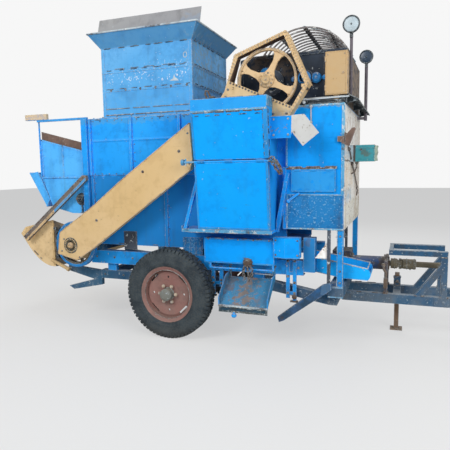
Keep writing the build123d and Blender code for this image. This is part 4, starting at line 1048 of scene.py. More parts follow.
def makeFrontTrim(s):
    rng = random.Random(17)
    near, front = s["near"], s["front"]
    lowX, highX, lowZ, highZ = s["hatch"]
    p.block((0.376, near - 0.011, highZ), (0.758, near, highZ + 0.011))
    p.seam(0.376, 0.758, near - 0.005, highZ + 0.016, 0.005, 0.09, 0.03, rng)
    p.place("hatchRail", "weldRust", bevel=0.001)
    p.blocks(
        ((lowX, near - 0.0145, lowZ - 0.001), (highX, near - 0.0108, lowZ + 0.009)),
        ((highX - 0.008, near - 0.0142, lowZ + 0.009), (highX, near - 0.0108, highZ - 0.016)),
        ((lowX, near - 0.0142, lowZ + 0.009), (lowX + 0.006, near - 0.0108, highZ - 0.016)),
    )
    for x in (lowX + 0.05, (lowX + highX) / 2, highX - 0.05):
        p.rod((x - 0.024, near - 0.008, highZ - 0.009), (x + 0.024, near - 0.008, highZ - 0.009), 0.0105, 12)
    p.place("hatchLip", "edgeBlue", "front_flap", bevel=0.0008)
    lowX, highX, lowZ, highZ = s["lowSheet"]
    p.block((lowX, near - 0.0025, lowZ), (highX, near, highZ))
    p.place("lowSheet", "blueLow", bevel=0.0008)
    p.blocks(
        ((lowX - 0.002, near - 0.007, lowZ - 0.006), (highX + 0.002, near - 0.0025, lowZ + 0.006)),
        ((lowX, near - 0.006, highZ - 0.005), (highX, near - 0.0025, highZ + 0.004)),
        ((lowX - 0.001, near - 0.006, lowZ + 0.006), (lowX + 0.01, near - 0.0025, highZ - 0.005)),
        ((front - 0.022, near - 0.004, highZ + 0.006), (front + 0.0015, near, 1.88)),
        ((0.37, near - 0.003, 1.42), (0.384, near, 1.88)),
        ((0.384, near - 0.003, 1.868), (front, near, 1.882)),
    )
    p.place("frontEdges", "edgeWorn", bevel=0.001)
    p.tube([(0.392, near - 0.01, 1.157), (0.43, near - 0.014, 1.186), (0.476, near - 0.012, 1.219)], 0.0095)
    p.turned((0.392, near - 0.001, 1.157), [(0.016, 0), (0.016, 0.012), (0.01, 0.018)], 12)
    p.place("sheetLever", "blueNear")
    p.rod((0.565, near - 0.007, 1.756), (0.563, near - 0.007, 1.866), 0.0045, 8)
    p.turned((0.563, near, 1.868), [(0.012, 0), (0.012, 0.012), (0.006, 0.016)], 10)
    p.turned((0.565, near, 1.752), [(0.009, 0), (0.009, 0.012)], 10)
    p.place("thinRod", "whitePlate")
    lowX, highX, lowZ, highZ = s["topFrame"]
    p.blocks(
        ((lowX, near + 0.001, lowZ), (highX, -0.508, lowZ + 0.008)),
        ((lowX, near - 0.004, lowZ + 0.008), (lowX + 0.02, -0.51, highZ)),
        ((highX - 0.02, near - 0.004, lowZ + 0.008), (highX, -0.51, highZ + 0.01)),
        ((lowX + 0.02, near + 0.004, lowZ + 0.008), (highX - 0.02, near + 0.009, highZ - 0.014)),
    )
    p.place("topFrame", "blackWorn", bevel=0.0015)
    for y, z in ((near - 0.001, highZ - 0.006), (near + 0.022, highZ + 0.002), (near + 0.045, highZ - 0.002)):
        p.rod((lowX - 0.014, y, z), (highX + 0.014, y, z + 0.006), 0.006)
    p.turned((lowX - 0.004, near - 0.005, lowZ + 0.018), [(0.012, 0), (0.012, 0.01), (0.007, 0.013)], 10)
    p.place("topRods", "silverRod")
    # Ribbed hood over the front face
    rows = []
    for i in range(s["hoodRibs"] * 4 + 1):
        y, lift = -0.59 + 1.18 * i / (s["hoodRibs"] * 4), 0.006 * math.sin(i * math.pi / 2)
        section = ((0.812, 1.958), (0.905, 1.905), (0.905, 1.898), (0.812, 1.951))
        rows.append([(x, y, z + lift) for x, z in section])
    p.skin(rows)
    p.place("frontHood", "blackWorn")
    for y in (-0.56, -0.02, 0.52):
        p.plate([(0.812, 1.882), (0.818, 1.882), (0.9, 1.897), (0.812, 1.95)], y, y + 0.006)
    p.place("hoodStays", "blackWorn")
    # Rusty bracket that sticks out past the corner, and the rod that hangs from it across the face
    bracket = [(0.781, 1.6), (0.847, 1.557), (0.895, 1.687), (0.883, 1.701), (0.865, 1.696)]
    p.plate(bracket, near - 0.026, near - 0.02)
    p.blocks(
        ((front, near - 0.026, 1.59), (front + 0.006, near + 0.09, 1.665)),
        ((front - 0.05, near - 0.02, 1.6), (front + 0.006, near, 1.64)),
    )
    for y in (-0.56, -0.53):
        p.bolt((front + 0.006, y, 1.628), 0.011, toFront)
    p.place("cornerBracket", "brownPlate", bevel=0.001)
    rod = [
        (front + 0.006, -0.53, 1.6), (front + 0.011, -0.378, 1.552), (front + 0.011, -0.142, 1.44),
        (front + 0.011, 0.33, 1.225),
    ]
    p.tube(rod, 0.0055)
    p.tube([(front + 0.004, 0.33, 1.225), (front + 0.012, 0.345, 1.2), (front + 0.004, 0.35, 1.15)], 0.006)
    for k in (1, 2):
        p.turned(rod[k], [(0.013, -0.012), (0.013, 0.006), (0.007, 0.01)], 12, toFront)
    p.place("faceRod", "rustySteel")
    for z in (0.975, 1.4, 1.84):
        for y in steps(-0.56, 0.56, 9):
            p.rivet((front, y, z), 0.007, toFront)
    for y in (-0.585, 0.585):
        p.block((front, y, 0.945), (front + 0.004, y * 1.02, 1.875))
    p.block((front, -0.58, 1.392), (front + 0.004, 0.58, 1.408))
    p.place("faceSeams", "faceWorn", bevel=0.0008)


makeFrontTrim(frontSettings)
print("front cabinet dressed")


# Guard and pulley: rivets along the hoop, dots along the foot, bolts round the hub
guardSettings = {
    "outer": [(0.396, 2.411), (0.569, 2.021), (0.418, 1.79), (0.301, 1.789), (-0.123, 1.96), (-0.091, 2.005),
              (-0.063, 2.082), (-0.005, 2.273)],
    "inner": [(0.378, 2.378), (0.535, 2.021), (0.439, 1.865), (-0.046, 2.081), (0.024, 2.253)],
    "face": -0.705,
    "step": 0.023,
    "hub": (0.238, 2.076),
    "deepEdges": (0, 1, 4, 5, 6, 7),
    "deep": -0.56, "shallow": -0.612,
}


# One edge of an outline, with the way that points into it
def edgeOf(points, k, middle):
    a, b = Vector(points[k]), Vector(points[(k + 1) % len(points)])
    inward = Vector((a.y - b.y, b.x - a.x)).normalized()
    return a, b, inward if inward.dot(middle - (a + b) / 2) > 0 else -inward


# Points at even steps along some edges of an outline, shifted into it
def alongEdges(points, step, shift, kept):
    middle = Vector((sum(q[0] for q in points) / len(points), sum(q[1] for q in points) / len(points)))
    made = []
    for k in kept:
        a, b, inward = edgeOf(points, k, middle)
        count = max(1, int((b - a).length / step))
        made += [a.lerp(b, (i + 0.5) / count) + inward * shift for i in range(count)]
    return made


def makeGuardTrim(s):
    face = s["face"]
    # Deep edge of the guard, cream outside and brown inside, the brown partly dirt and partly painted shade;
    # it stops short of the front cabinet
    for name, finish, low, high in (
        ("guardHoop", "creamWorn", 0, 0.003), ("guardLining", "brownPlate", 0.003, 0.005)
    ):
        for k in s["deepEdges"]:
            a, b, inward = edgeOf(s["outer"], k, Vector(s["hub"]))
            back = s["shallow"] if k == 1 else s["deep"]
            edge = [a + inward * low, b + inward * low, b + inward * high, a + inward * high]
            p.plate(edge, face + 0.006, back)
        p.place(name, finish)
    for x, z in alongEdges(s["outer"], s["step"], 0.006, (0, 1, 6, 7)):
        p.turned((x, face, z), [(0.0085, -0.003), (0.0085, 0.004), (0.006, 0.006)], 8)
    for x, z in alongEdges(s["inner"], s["step"], -0.006, (0, 1, 3, 4)):
        p.turned((x, face, z), [(0.0065, 0), (0.0065, 0.003), (0.005, 0.005)], 8)
    p.place("guardRivets", "creamEdge")
    for x, z in alongEdges(s["inner"], 0.026, -0.01, (2,)):
        p.turned((x, face, z), [(0.008, 0), (0.008, 0.004), (0.005, 0.006)], 8)
    for x, z in ((0.3, 1.815), (0.4, 1.815), (-0.08, 1.965), (-0.06, 2.02)):
        p.bolt((x, face, z), 0.01)
    p.place("guardDots", "weldRust")
    hubX, hubZ = s["hub"]
    for spot in around((hubX, -0.6785, hubZ), 0.047, 10):
        p.bolt(spot, 0.0095)
    cap = [(0.034, -0.01), (0.034, 0.004), (0.03, 0.008), (0.012, 0.009), (0.008, 0.016)]
    p.turned((hubX, -0.69, hubZ), cap)
    p.place("hubBolts", "creamEdge", "drive")
    for radius in (0.2225, 0.23):
        p.tube(around((hubX, -0.6735, hubZ), radius, 72), 0.003, 6, closed=True)
    p.place("pulleyRings", "creamEdge", "drive")


makeGuardTrim(guardSettings)
print("guard and pulley dressed")


# Drum housing: bearing blocks, bolted flanges, crossed rods over the cage
drumSettings = {
    "centre": (0.5, 2.09),
    "face": 0.505,
    "cage": (0.486, 2.103, 0.378),
    "crossedRods": [
        # y at both ends, then the angle over the cage at both ends
        (-0.42, -0.1, 84, 33), (-0.2, 0.16, 80, 34), (0.05, 0.4, 84, 40),
    ],
}


def makeDrumTrim(s):
    x, z = s["centre"]
    for side in (-1, 1):
        out = (0, side, 0)
        place = (x, side * s["face"], z)
        shell = [(0.03, 0.024), (0.03, 0.03), (0.046, 0.032), (0.052, 0.04), (0.046, 0.058), (0.034, 0.064)]
        p.turned(place, shell, 28, out, closed=True)
        for dx, size in ((-0.085, 0.022), (0.085, 0.04)):
            p.turned((x + dx, side * s["face"], z), [(size, 0), (size, 0.016), (size * 0.7, 0.026)], 20, out)
            p.bolt((x + dx, side * (s["face"] + 0.026), z), 0.012, out)
    p.turned((0.652, -s["face"], 2.086), [(0.021, 0), (0.021, 0.02), (0.016, 0.03), (0.006, 0.034)], 18)
    p.turned((0.19, -s["face"], 2.15), [(0.046, 0), (0.046, 0.016), (0.03, 0.028), (0.012, 0.03)])
    p.place("bearingBlocks", "blueBearing")
    p.turned((0.238, -s["face"], 2.078), [(0.098, 0), (0.098, 0.014), (0.07, 0.022), (0.062, 0.022)], 40)
    p.place("bearingPlate", "weldDark")
    for side in (-1, 1):
        y0, y1 = side * s["face"], side * (s["face"] + 0.008)
        p.blocks(
            ((-0.02, y0, 1.882), (0.812, y1, 1.905)), ((-0.02, y0, 1.905), (0.005, y1, 2.262)),
            ((0.64, y0, 1.905), (0.662, y1, 2.285)), ((0.105, y0, 2.266), (0.64, y1, 2.288)),
        )
        for bx in steps(0.03, 0.61, 8):
            p.bolt((bx, side * (s["face"] + 0.008), 1.893), 0.009, (0, side, 0))
            if bx > 0.12:
                p.bolt((bx, side * (s["face"] + 0.008), 2.277), 0.009, (0, side, 0))
    # The housing frames take the dark finish that holds painted shade
    p.place("housingFrames", "darkNavyAndPaintedShade", bevel=0.001)
    cx, cz, radius = s["cage"]
    for startY, endY, startAngle, endAngle in s["crossedRods"]:
        line = []
        for t in steps(0, 1, 14):
            a = math.radians(startAngle + (endAngle - startAngle) * t)
            reach = radius + 0.007
            line.append((cx + reach * math.cos(a), startY + (endY - startY) * t, cz + reach * math.sin(a)))
        p.tube(line, 0.0065, 7)
    for tie in (60, 90, 120):
        a = math.radians(tie)
        for y in steps(-0.48, 0.48, 13):
            p.rivet(
                (cx + (radius + 0.002) * math.cos(a), y, cz + (radius + 0.002) * math.sin(a)), 0.008,
                (math.cos(a), 0, math.sin(a)),
            )
    # Rods over the cage: their white flecks are partly painted glints
    p.place("cageRods", "whiteSpeckAndPaintedGlint")


makeDrumTrim(drumSettings)
print("drum housing dressed")


# Lamps: bezels, lenses, clamps
lampSettings = {
    "lamps": [
        # name, place of the lens face, radius, finish of the lens
        # The near lens is painted pale as a painted reflection, the far lens dark as painted shade
        ("nearLamp", (0.835, -0.476, 2.462), 0.06, "paleFlakeAndLensReflection"),
        ("farLamp", (0.884, 0.324, 2.387), 0.057, "lensPaintedShade"),
    ],
}


def makeLampTrim(s):
    for name, place, radius, finish in s["lamps"]:
        x, y, z = place
        rim = [
            (radius - 0.006, 0), (radius + 0.002, 0), (radius + 0.004, 0.006), (radius + 0.001, 0.012),
            (radius - 0.006, 0.01),
        ]
        p.turned(place, rim, 36, closed=True)
        p.turned((x, y - 0.002, z), [(0.006, 0.006), (0.006, 0.012), (0.003, 0.014)], 10)
        p.block((x - 0.012, y + 0.004, z - radius - 0.03), (x + 0.012, y + 0.03, z - radius + 0.004))
        p.bolt((x, y + 0.004, z - radius - 0.014), 0.008)
        p.place(name + "Bezel", "blackWorn")
        rows = [
            (radius - 0.005, 0.001), (radius - 0.005, 0.004), (radius * 0.7, 0.007), (radius * 0.35, 0.0085),
            (0.002, 0.009),
        ]
        p.turned(place, rows, 36)
        p.place(name + "Lens", finish)


makeLampTrim(lampSettings)


# Cream box: door frame, hinges, latch; teal box: lid lip, hasp, gland
boxSettings = {
    "cream": (0.665, 0.825, -0.599, 1.944, 2.25),
    "teal": (0.812, 1.0, -0.22, -0.09, 1.456, 1.585),
}


def makeBoxTrim(s):
    lowX, highX, near, lowZ, highZ = s["cream"]
    p.blocks(
        ((lowX + 0.006, near - 0.0035, lowZ + 0.006), (highX - 0.012, near, highZ - 0.006)),
        ((lowX - 0.002, near - 0.001, highZ - 0.002), (highX + 0.002, -0.503, highZ + 0.003)),
    )
    p.place("creamDoor", "creamWorn", bevel=0.0015)
    for z in (lowZ + 0.05, highZ - 0.05):
        p.rod((lowX + 0.002, near - 0.005, z - 0.018), (lowX + 0.002, near - 0.005, z + 0.018), 0.005, 8)
    latch = (highX - 0.03, near - 0.0035, (lowZ + highZ) / 2)
    p.turned(latch, [(0.009, 0), (0.009, 0.006), (0.004, 0.008)], 12)
    p.block((highX, near + 0.004, lowZ + 0.004), (highX + 0.003, near + 0.014, highZ - 0.004))
    for x in (lowX + 0.02, highX - 0.02):
        p.rivet((x, near - 0.0035, highZ - 0.02), 0.005)
        p.rivet((x, near - 0.0035, lowZ + 0.02), 0.005)
    p.place("creamBoxFittings", "creamEdge")
    lowX, highX, near, far, lowZ, highZ = s["teal"]
    p.blocks(
        ((lowX + 0.044, near - 0.004, highZ - 0.022), (highX + 0.004, near, highZ + 0.003)),
        ((highX, near - 0.004, highZ - 0.022), (highX + 0.004, far + 0.003, highZ + 0.003)),
        ((lowX + 0.004, near, highZ), (highX, far + 0.003, highZ + 0.003)),
        ((highX - 0.004, near - 0.003, lowZ), (highX + 0.003, near, highZ - 0.022)),
    )
    p.place("tealLid", "tealPaint", bevel=0.001)
    edge = [
        (highX, lowZ + 0.002), (highX + 0.024, lowZ + 0.006), (highX + 0.017, lowZ + 0.04),
        (highX + 0.026, lowZ + 0.072), (highX + 0.02, lowZ + 0.1), (highX + 0.027, highZ - 0.006),
        (highX, highZ - 0.002),
    ]
    p.plate(edge, near + 0.004, far - 0.01)
    p.place("tealEnd", "tealPale", bevel=0.0008)
    p.turned((0.9, near - 0.004, highZ - 0.035), [(0.008, 0), (0.008, 0.004)], 10)
    p.turned((0.86, -0.155, lowZ), [(0.012, 0), (0.012, 0.014), (0.008, 0.02)], 12, down)
    p.tube(
        [
            (0.86, -0.155, lowZ - 0.01), (0.858, -0.155, lowZ - 0.05), (0.842, -0.156, lowZ - 0.085),
            (0.818, -0.158, lowZ - 0.1),
        ],
        0.006,
    )
    p.place("tealFittings", "weldRust")


makeBoxTrim(boxSettings)
print("lamps and boxes dressed")


# Rear mouth, strut and boot: seams, rail, bearing, flanges, spout
rearSettings = {
    "mouth": 0.54, "rearX": -2.034, "postX": -1.53,
    "bearing": (-1.588, 1.153),
}


def makeRearTrim(s):
    rng = random.Random(23)
    mouth = s["mouth"]
    for side in (-1, 1):
        a, b = side * mouth, side * (mouth + 0.01)
        p.block((s["rearX"] + 0.006, a, 1.35), (s["postX"], b, 1.362))
        a, b = side * mouth, side * (mouth + 0.004)
        p.block((-1.786, a, 1.362), (-1.772, b, 1.655))
        p.plate([(-2.024, 1.366), (-2.01, 1.366), (-2.01, 1.714), (-2.024, 1.718)], a, b)
        p.plate([(-2.022, 1.718), (-1.53, 1.595), (-1.53, 1.582), (-2.022, 1.705)], a, b)
        for x in steps(-1.98, -1.57, 6):
            p.rivet((x, side * (mouth + 0.01), 1.356), 0.006, (0, side, 0))
    p.place("mouthSeams", "rearBlue", bevel=0.0008)
    p.tube([(-2.189, -0.53, 1.4005), (-2.189, 0.53, 1.4005)], 0.006)
    p.place("lipRoll", "rearBlue", "rear_lip")
    for side in (-1, 1):
        a, b = side * (mouth - 0.018), side * (mouth - 0.008)
        p.plate([(-2.02, 1.7), (-1.532, 1.58), (-1.532, 1.668), (-2.02, 1.79)], a, b)
    p.place("mouthBoards", "brownPlate", bevel=0.0015)
    x, z = s["bearing"]
    shell = [(0.056, 0), (0.056, 0.01), (0.04, 0.014), (0.034, 0.03), (0.022, 0.032)]
    p.turned((x, -mouth, z), shell)
    p.turned((x, -mouth, z), [(0.014, 0.03), (0.014, 0.052), (0.011, 0.055)], 16)
    for spot in around((x, -mouth - 0.01, z), 0.046, 4, math.pi / 4):
        p.bolt(spot, 0.009)
    p.place("mouthBearing", "blackWorn")
    p.turned((x - 0.03, -mouth - 0.014, z + 0.004), [(0.016, 0), (0.018, 0.01), (0.01, 0.018)], 12)
    p.place("bearingNub", "legRust")
    p.tube(
        [
            (x + 0.004, -mouth - 0.008, z - 0.05), (x + 0.008, -mouth - 0.01, z - 0.1),
            (x + 0.01, -mouth - 0.008, 1.022),
        ],
        0.0075,
    )
    p.block((x - 0.006, -mouth - 0.014, 1.022), (x + 0.03, -mouth, 1.034))
    p.place("bearingRod", "blueFrame")
    # Worn edges, end plates and bolts of the strut
    p.plate([(-2.213, 0.764), (-2.199, 0.746), (-1.849, 1.03), (-1.856, 1.055)], -0.6138, -0.612)
    p.place("strutFoot", "creamEdge", bevel=0.0006)
    p.plate([(-1.856, 1.055), (-1.849, 1.03), (-1.48, 1.33), (-1.488, 1.354)], -0.6138, -0.612)
    p.place("strutFlange", "strutBlue", bevel=0.0006)
    p.plate([(-2.232, 0.79), (-2.226, 0.783), (-1.522, 1.362), (-1.522, 1.372)], -0.614, -0.612)
    for bx, bz in ((-2.205, 0.776), (-2.17, 0.806), (-1.51, 1.35), (-1.545, 1.322)):
        p.bolt((bx, -0.6138, bz), 0.01)
    p.place("strutEdges", "weldRust", bevel=0.0006)
    lug = [(-2.262, 0.868), (-2.215, 0.878), (-2.205, 0.8), (-2.238, 0.775), (-2.285, 0.812)]
    p.plate(lug, -0.5475, -0.545)
    p.block((-2.245, -0.5875, 0.774), (-2.178, -0.545, 0.826))
    for side in (-1, 1):
        a, b = side * 0.545, side * 0.5535
        p.block((-1.946, a, 0.512), (-1.924, b, 0.944))
        a, b = side * 0.545, side * 0.549
        p.plate([(-2.262, 0.866), (-1.946, 0.938), (-1.946, 0.926), (-2.268, 0.853)], a, b)
        for z in steps(0.56, 0.9, 5):
            p.rivet((-1.935, side * 0.5535, z), 0.0055, (0, side, 0))
    p.tube([(-2.3245, -0.538, 0.812), (-2.3245, 0.538, 0.812)], 0.006)
    p.place("bootFlanges", "creamWorn", bevel=0.0008)
    p.block((-1.868, -0.6, 0.59), (-1.846, -0.545, 0.8))
    arm = [(-1.9, -0.556, 0.872), (-1.862, -0.585, 0.822), (-1.82, -0.606, 0.868), (-1.786, -0.606, 0.9)]
    p.tube(arm, 0.0085)
    p.block((-1.915, -0.566, 0.86), (-1.888, -0.545, 0.884))
    p.place("bootTension", "blackWorn", bevel=0.001)
    p.rod((-1.955, -0.562, 0.562), (-1.76, -0.562, 0.48), 0.017, 14)
    p.turned((-1.76, -0.562, 0.48), [(0.021, -0.016), (0.021, 0.004), (0.015, 0.006)], 14, (0.92, 0, -0.39))
    p.place("bootSpout", "creamWorn")
    for x in steps(-1.9, -1.58, 4):
        p.bolt((x, -0.545, 0.866), 0.01)
        p.bolt((x, 0.545, 0.866), 0.01, toFar)
    for spot in around((-1.59, -0.585, 0.745), 0.036, 4, math.pi / 4):
        p.bolt(spot, 0.008)
    p.bead((-2.2, -0.547, 0.66), (-2.09, -0.547, 0.562), 0.0045, 0.05, 0.03, rng)
    p.place("bootBolts", "weldRust")


makeRearTrim(rearSettings)
print("rear dressed")


# Long belt guard: rolled edge, ring round the lower shaft, bolt heads
beltSettings = {
    "outline": [(-1.706, 0.859), (-1.324, 1.112), (-1.053, 1.32), (-0.381, 1.782), (-0.359, 1.5),
                (-0.378, 1.413), (-1.047, 0.939), (-1.322, 0.745), (-1.531, 0.609), (-1.739, 0.661)],
    "face": -0.73,
    "hole": (-1.59, 0.745),
    "studs": [(-0.48, 1.56), (-0.82, 1.4), (-1.3, 0.98)],
}


def makeBeltTrim(s):
    face = s["face"]
    outline = s["outline"]
    inner = []
    for q in outline:
        pull = Vector(q) + (Vector((-1.05, 1.15)) - Vector(q)).normalized() * 0.004
        inner.append((pull.x, face - 0.001, pull.y))
    p.tube(inner, 0.0035, 6, closed=True)
    p.place("beltGuardEdge", "creamEdge")
    x, z = s["hole"]
    rows = [(0.041, -0.002), (0.041, 0.004), (0.046, 0.006), (0.069, 0.006), (0.073, 0.003), (0.073, 0)]
    p.turned((x, face, z), rows, 40, closed=True)
    p.place("shaftRing", "ringOlive")
    for spot in around((x, face - 0.006, z), 0.058, 22):
        p.rivet(spot, 0.0058)
    p.place("shaftBalls", "creamEdge")
    for bx, bz in s["studs"]:
        p.bolt((bx, face, bz), 0.013)
    for bx, bz in ((-0.4, 1.7), (-0.39, 1.46), (-1.66, 0.8), (-1.69, 0.69), (-1.5, 0.64)):
        p.bolt((bx, face, bz), 0.009)
    p.place("beltGuardBolts", "weldRust")
    ring = [(0.184, 0.002), (0.184, 0.05), (0.205, 0.05), (0.213, 0.044), (0.213, 0.008), (0.205, 0.002)]
    p.turned((x, -0.622, z), ring, 64, closed=True)
    p.place("lowerPulleyBelt", "ringBlue", "boot_drive")
    p.turned((x, -0.75, z), [(0.018, -0.002), (0.018, 0.006), (0.012, 0.01)], 20)
    p.place("lowerShaftCap", "creamEdge", "boot_drive")


makeBeltTrim(beltSettings)
print("belt guard dressed")


# Below the cabinet: worn lips, panel beside the wheel, rust lump with loose chain, hangers, chute
lowerSettings = {
    "skirt": (-0.309, 0.287, -0.65, 0.646, 0.849),
    "turn": [(0.287, -0.668), (0.38, -0.69), (0.493, -0.66)],
    "turnLevels": (0.717, 0.878),
    "chute": (-0.128, 0.272),
    "chains": [
        # points, their y counted from the skirt, then length and wire of a link
        ([(0.045, -0.03, 0.632), (0.04, -0.028, 0.575), (0.052, -0.026, 0.53)], 0.03, 0.0042),
        ([(0.075, -0.03, 0.63), (0.082, -0.03, 0.585), (0.088, -0.026, 0.515)], 0.03, 0.0042),
        ([(0.098, -0.026, 0.64), (0.112, -0.024, 0.6), (0.108, -0.022, 0.56)], 0.028, 0.004),
    ],
    "hangerBolts": [(-0.268, 0.59), (-0.268, 0.5), (-0.195, 0.59), (-0.195, 0.48), (0.377, 0.676),
                    (0.377, 0.55), (0.431, 0.676), (0.431, 0.5), (0.377, 0.414), (0.431, 0.414),
                    (-0.268, 0.454), (-0.195, 0.454)],
    "knob": [(0.01, -0.002), (0.01, 0.01), (0.019, 0.014), (0.021, 0.03), (0.014, 0.04), (0.006, 0.042)],
}


def makeLowerTrim(s):
    rng = random.Random(31)
    lowX, highX, near, lowZ, highZ = s["skirt"]
    p.blocks(
        ((lowX, near - 0.003, lowZ), (highX, near, lowZ + 0.012)),
        ((lowX, near - 0.003, highZ - 0.01), (highX, near, highZ + 0.002)),
        ((lowX - 0.001, near - 0.003, lowZ + 0.012), (lowX + 0.01, near, highZ - 0.01)),
    )
    levels = s["turnLevels"]
    for z in levels:
        p.tube([(x, y - 0.001, z) for x, y in s["turn"]], 0.0042, 6)
    for x, y in (s["turn"][0], s["turn"][2]):
        p.rod((x, y - 0.001, levels[0]), (x, y - 0.001, levels[1]), 0.0042, 6)
    p.place("skirtEdges", "edgeBlue", bevel=0.0006)
    p.blocks(
        ((-0.549, -0.5525, 0.745), (-0.366, -0.544, 0.833)),
        ((-0.549, -0.5525, 0.684), (-0.366, -0.55, 0.745)),
    )
    for x in steps(-0.53, -0.385, 4):
        p.block((x - 0.007, -0.5585, 0.69), (x + 0.007, -0.5525, 0.828))
    p.place("sidePanel", "blueLow", bevel=0.001)
    p.blocks(
        ((-1.142, -0.5485, 0.702), (-1.008, -0.544, 0.868)),
        ((-1.018, -0.552, 0.702), (-1.008, -0.5485, 0.868)),
    )
    p.place("sideCover", "weldDark", bevel=0.001)
    for x in steps(lowX + 0.04, highX - 0.04, 5):
        p.bolt((x, near - 0.003, highZ - 0.004), 0.008)
    for x, y in ((0.305, -0.673), (0.475, -0.665)):
        for z in (0.74, 0.855):
            p.bolt((x, y - 0.001, z), 0.008)
    p.seam(lowX + 0.02, highX - 0.02, near - 0.002, highZ + 0.003, 0.004, 0.06, 0.06, rng)
    p.place("skirtBolts", "weldRust")
    # Rust lump and its loose chain ends
    lump = [(0.036, 0), (0.04, 0.008), (0.036, 0.018), (0.026, 0.026), (0.022, 0.034), (0.012, 0.038)]
    p.turned((0.07, near, 0.66), lump, 20)
    for spot in around((0.07, near - 0.022, 0.66), 0.026, 5, 0.4):
        p.bolt(spot, 0.009)
    for line, link, wire in s["chains"]:
        p.chain([(x, near + y, z) for x, y, z in line], link, wire)
    p.place("rustLump", "rustySteel")
    # Hangers: pads, cross bolts, feet
    for x, z in s["hangerBolts"]:
        p.bolt((x, -0.562, z), 0.012)
    for x, z in ((-0.268, 0.341), (0.431, 0.341)):
        p.block((x - 0.034, -0.574, z), (x + 0.026, -0.549, z + 0.014))
        p.turned((x, -0.562, z + 0.045), [(0.02, 0), (0.02, 0.012), (0.012, 0.016)], 14)
    p.place("hangerFeet", "weldRust", bevel=0.001)
    # Chute: rolled lip, crusted fold, knob, strap bolts
    left, right = s["chute"]
    p.tube([(left - 0.002, -0.8005, 0.3345), (right + 0.002, -0.8005, 0.3345)], 0.0095)
    p.place("chuteRoll", "rimWorn")
    for x in (left, right):
        line = [(x, -0.555, 0.559), (x, -0.64, 0.545), (x, -0.803, 0.402), (x, -0.801, 0.336)]
        p.tube(line, 0.005, 6)
    p.place("chuteEdges", "edgeBlue")
    p.blocks(
        ((left + 0.001, -0.8095, 0.286), (right - 0.001, -0.806, 0.3)),
        ((left + 0.001, -0.809, 0.3), (left + 0.014, -0.806, 0.326)),
        ((right - 0.014, -0.809, 0.3), (right - 0.001, -0.806, 0.326)),
    )
    p.seam(left + 0.01, right - 0.01, -0.8065, 0.327, 0.006, 0.05, 0.02, rng)
    for x in (left + 0.012, right - 0.012):
        for z in (0.545, 0.6):
            p.bolt((x, -0.555, z), 0.01)
    p.place("chuteLip", "chuteDark", bevel=0.0008)
    p.turned((0.0, -0.8035, 0.288), s["knob"], 16, down)
    p.place("chuteKnob", "blueNear")
    p.rod((0.101, -0.566, 0.556), (0.254, -0.566, 0.552), 0.0042, 8)
    p.place("chuteRod", "silverRod")


makeLowerTrim(lowerSettings)
print("lower pieces dressed")


# Drawbar: welds, bolted feet, joint yokes on the shaft, levers, pins
drawbarSettings = {
    "shaftZ": 0.592,
    "rails": (0.19, 0.292, 0.37),
    "frameTop": 0.735,
}


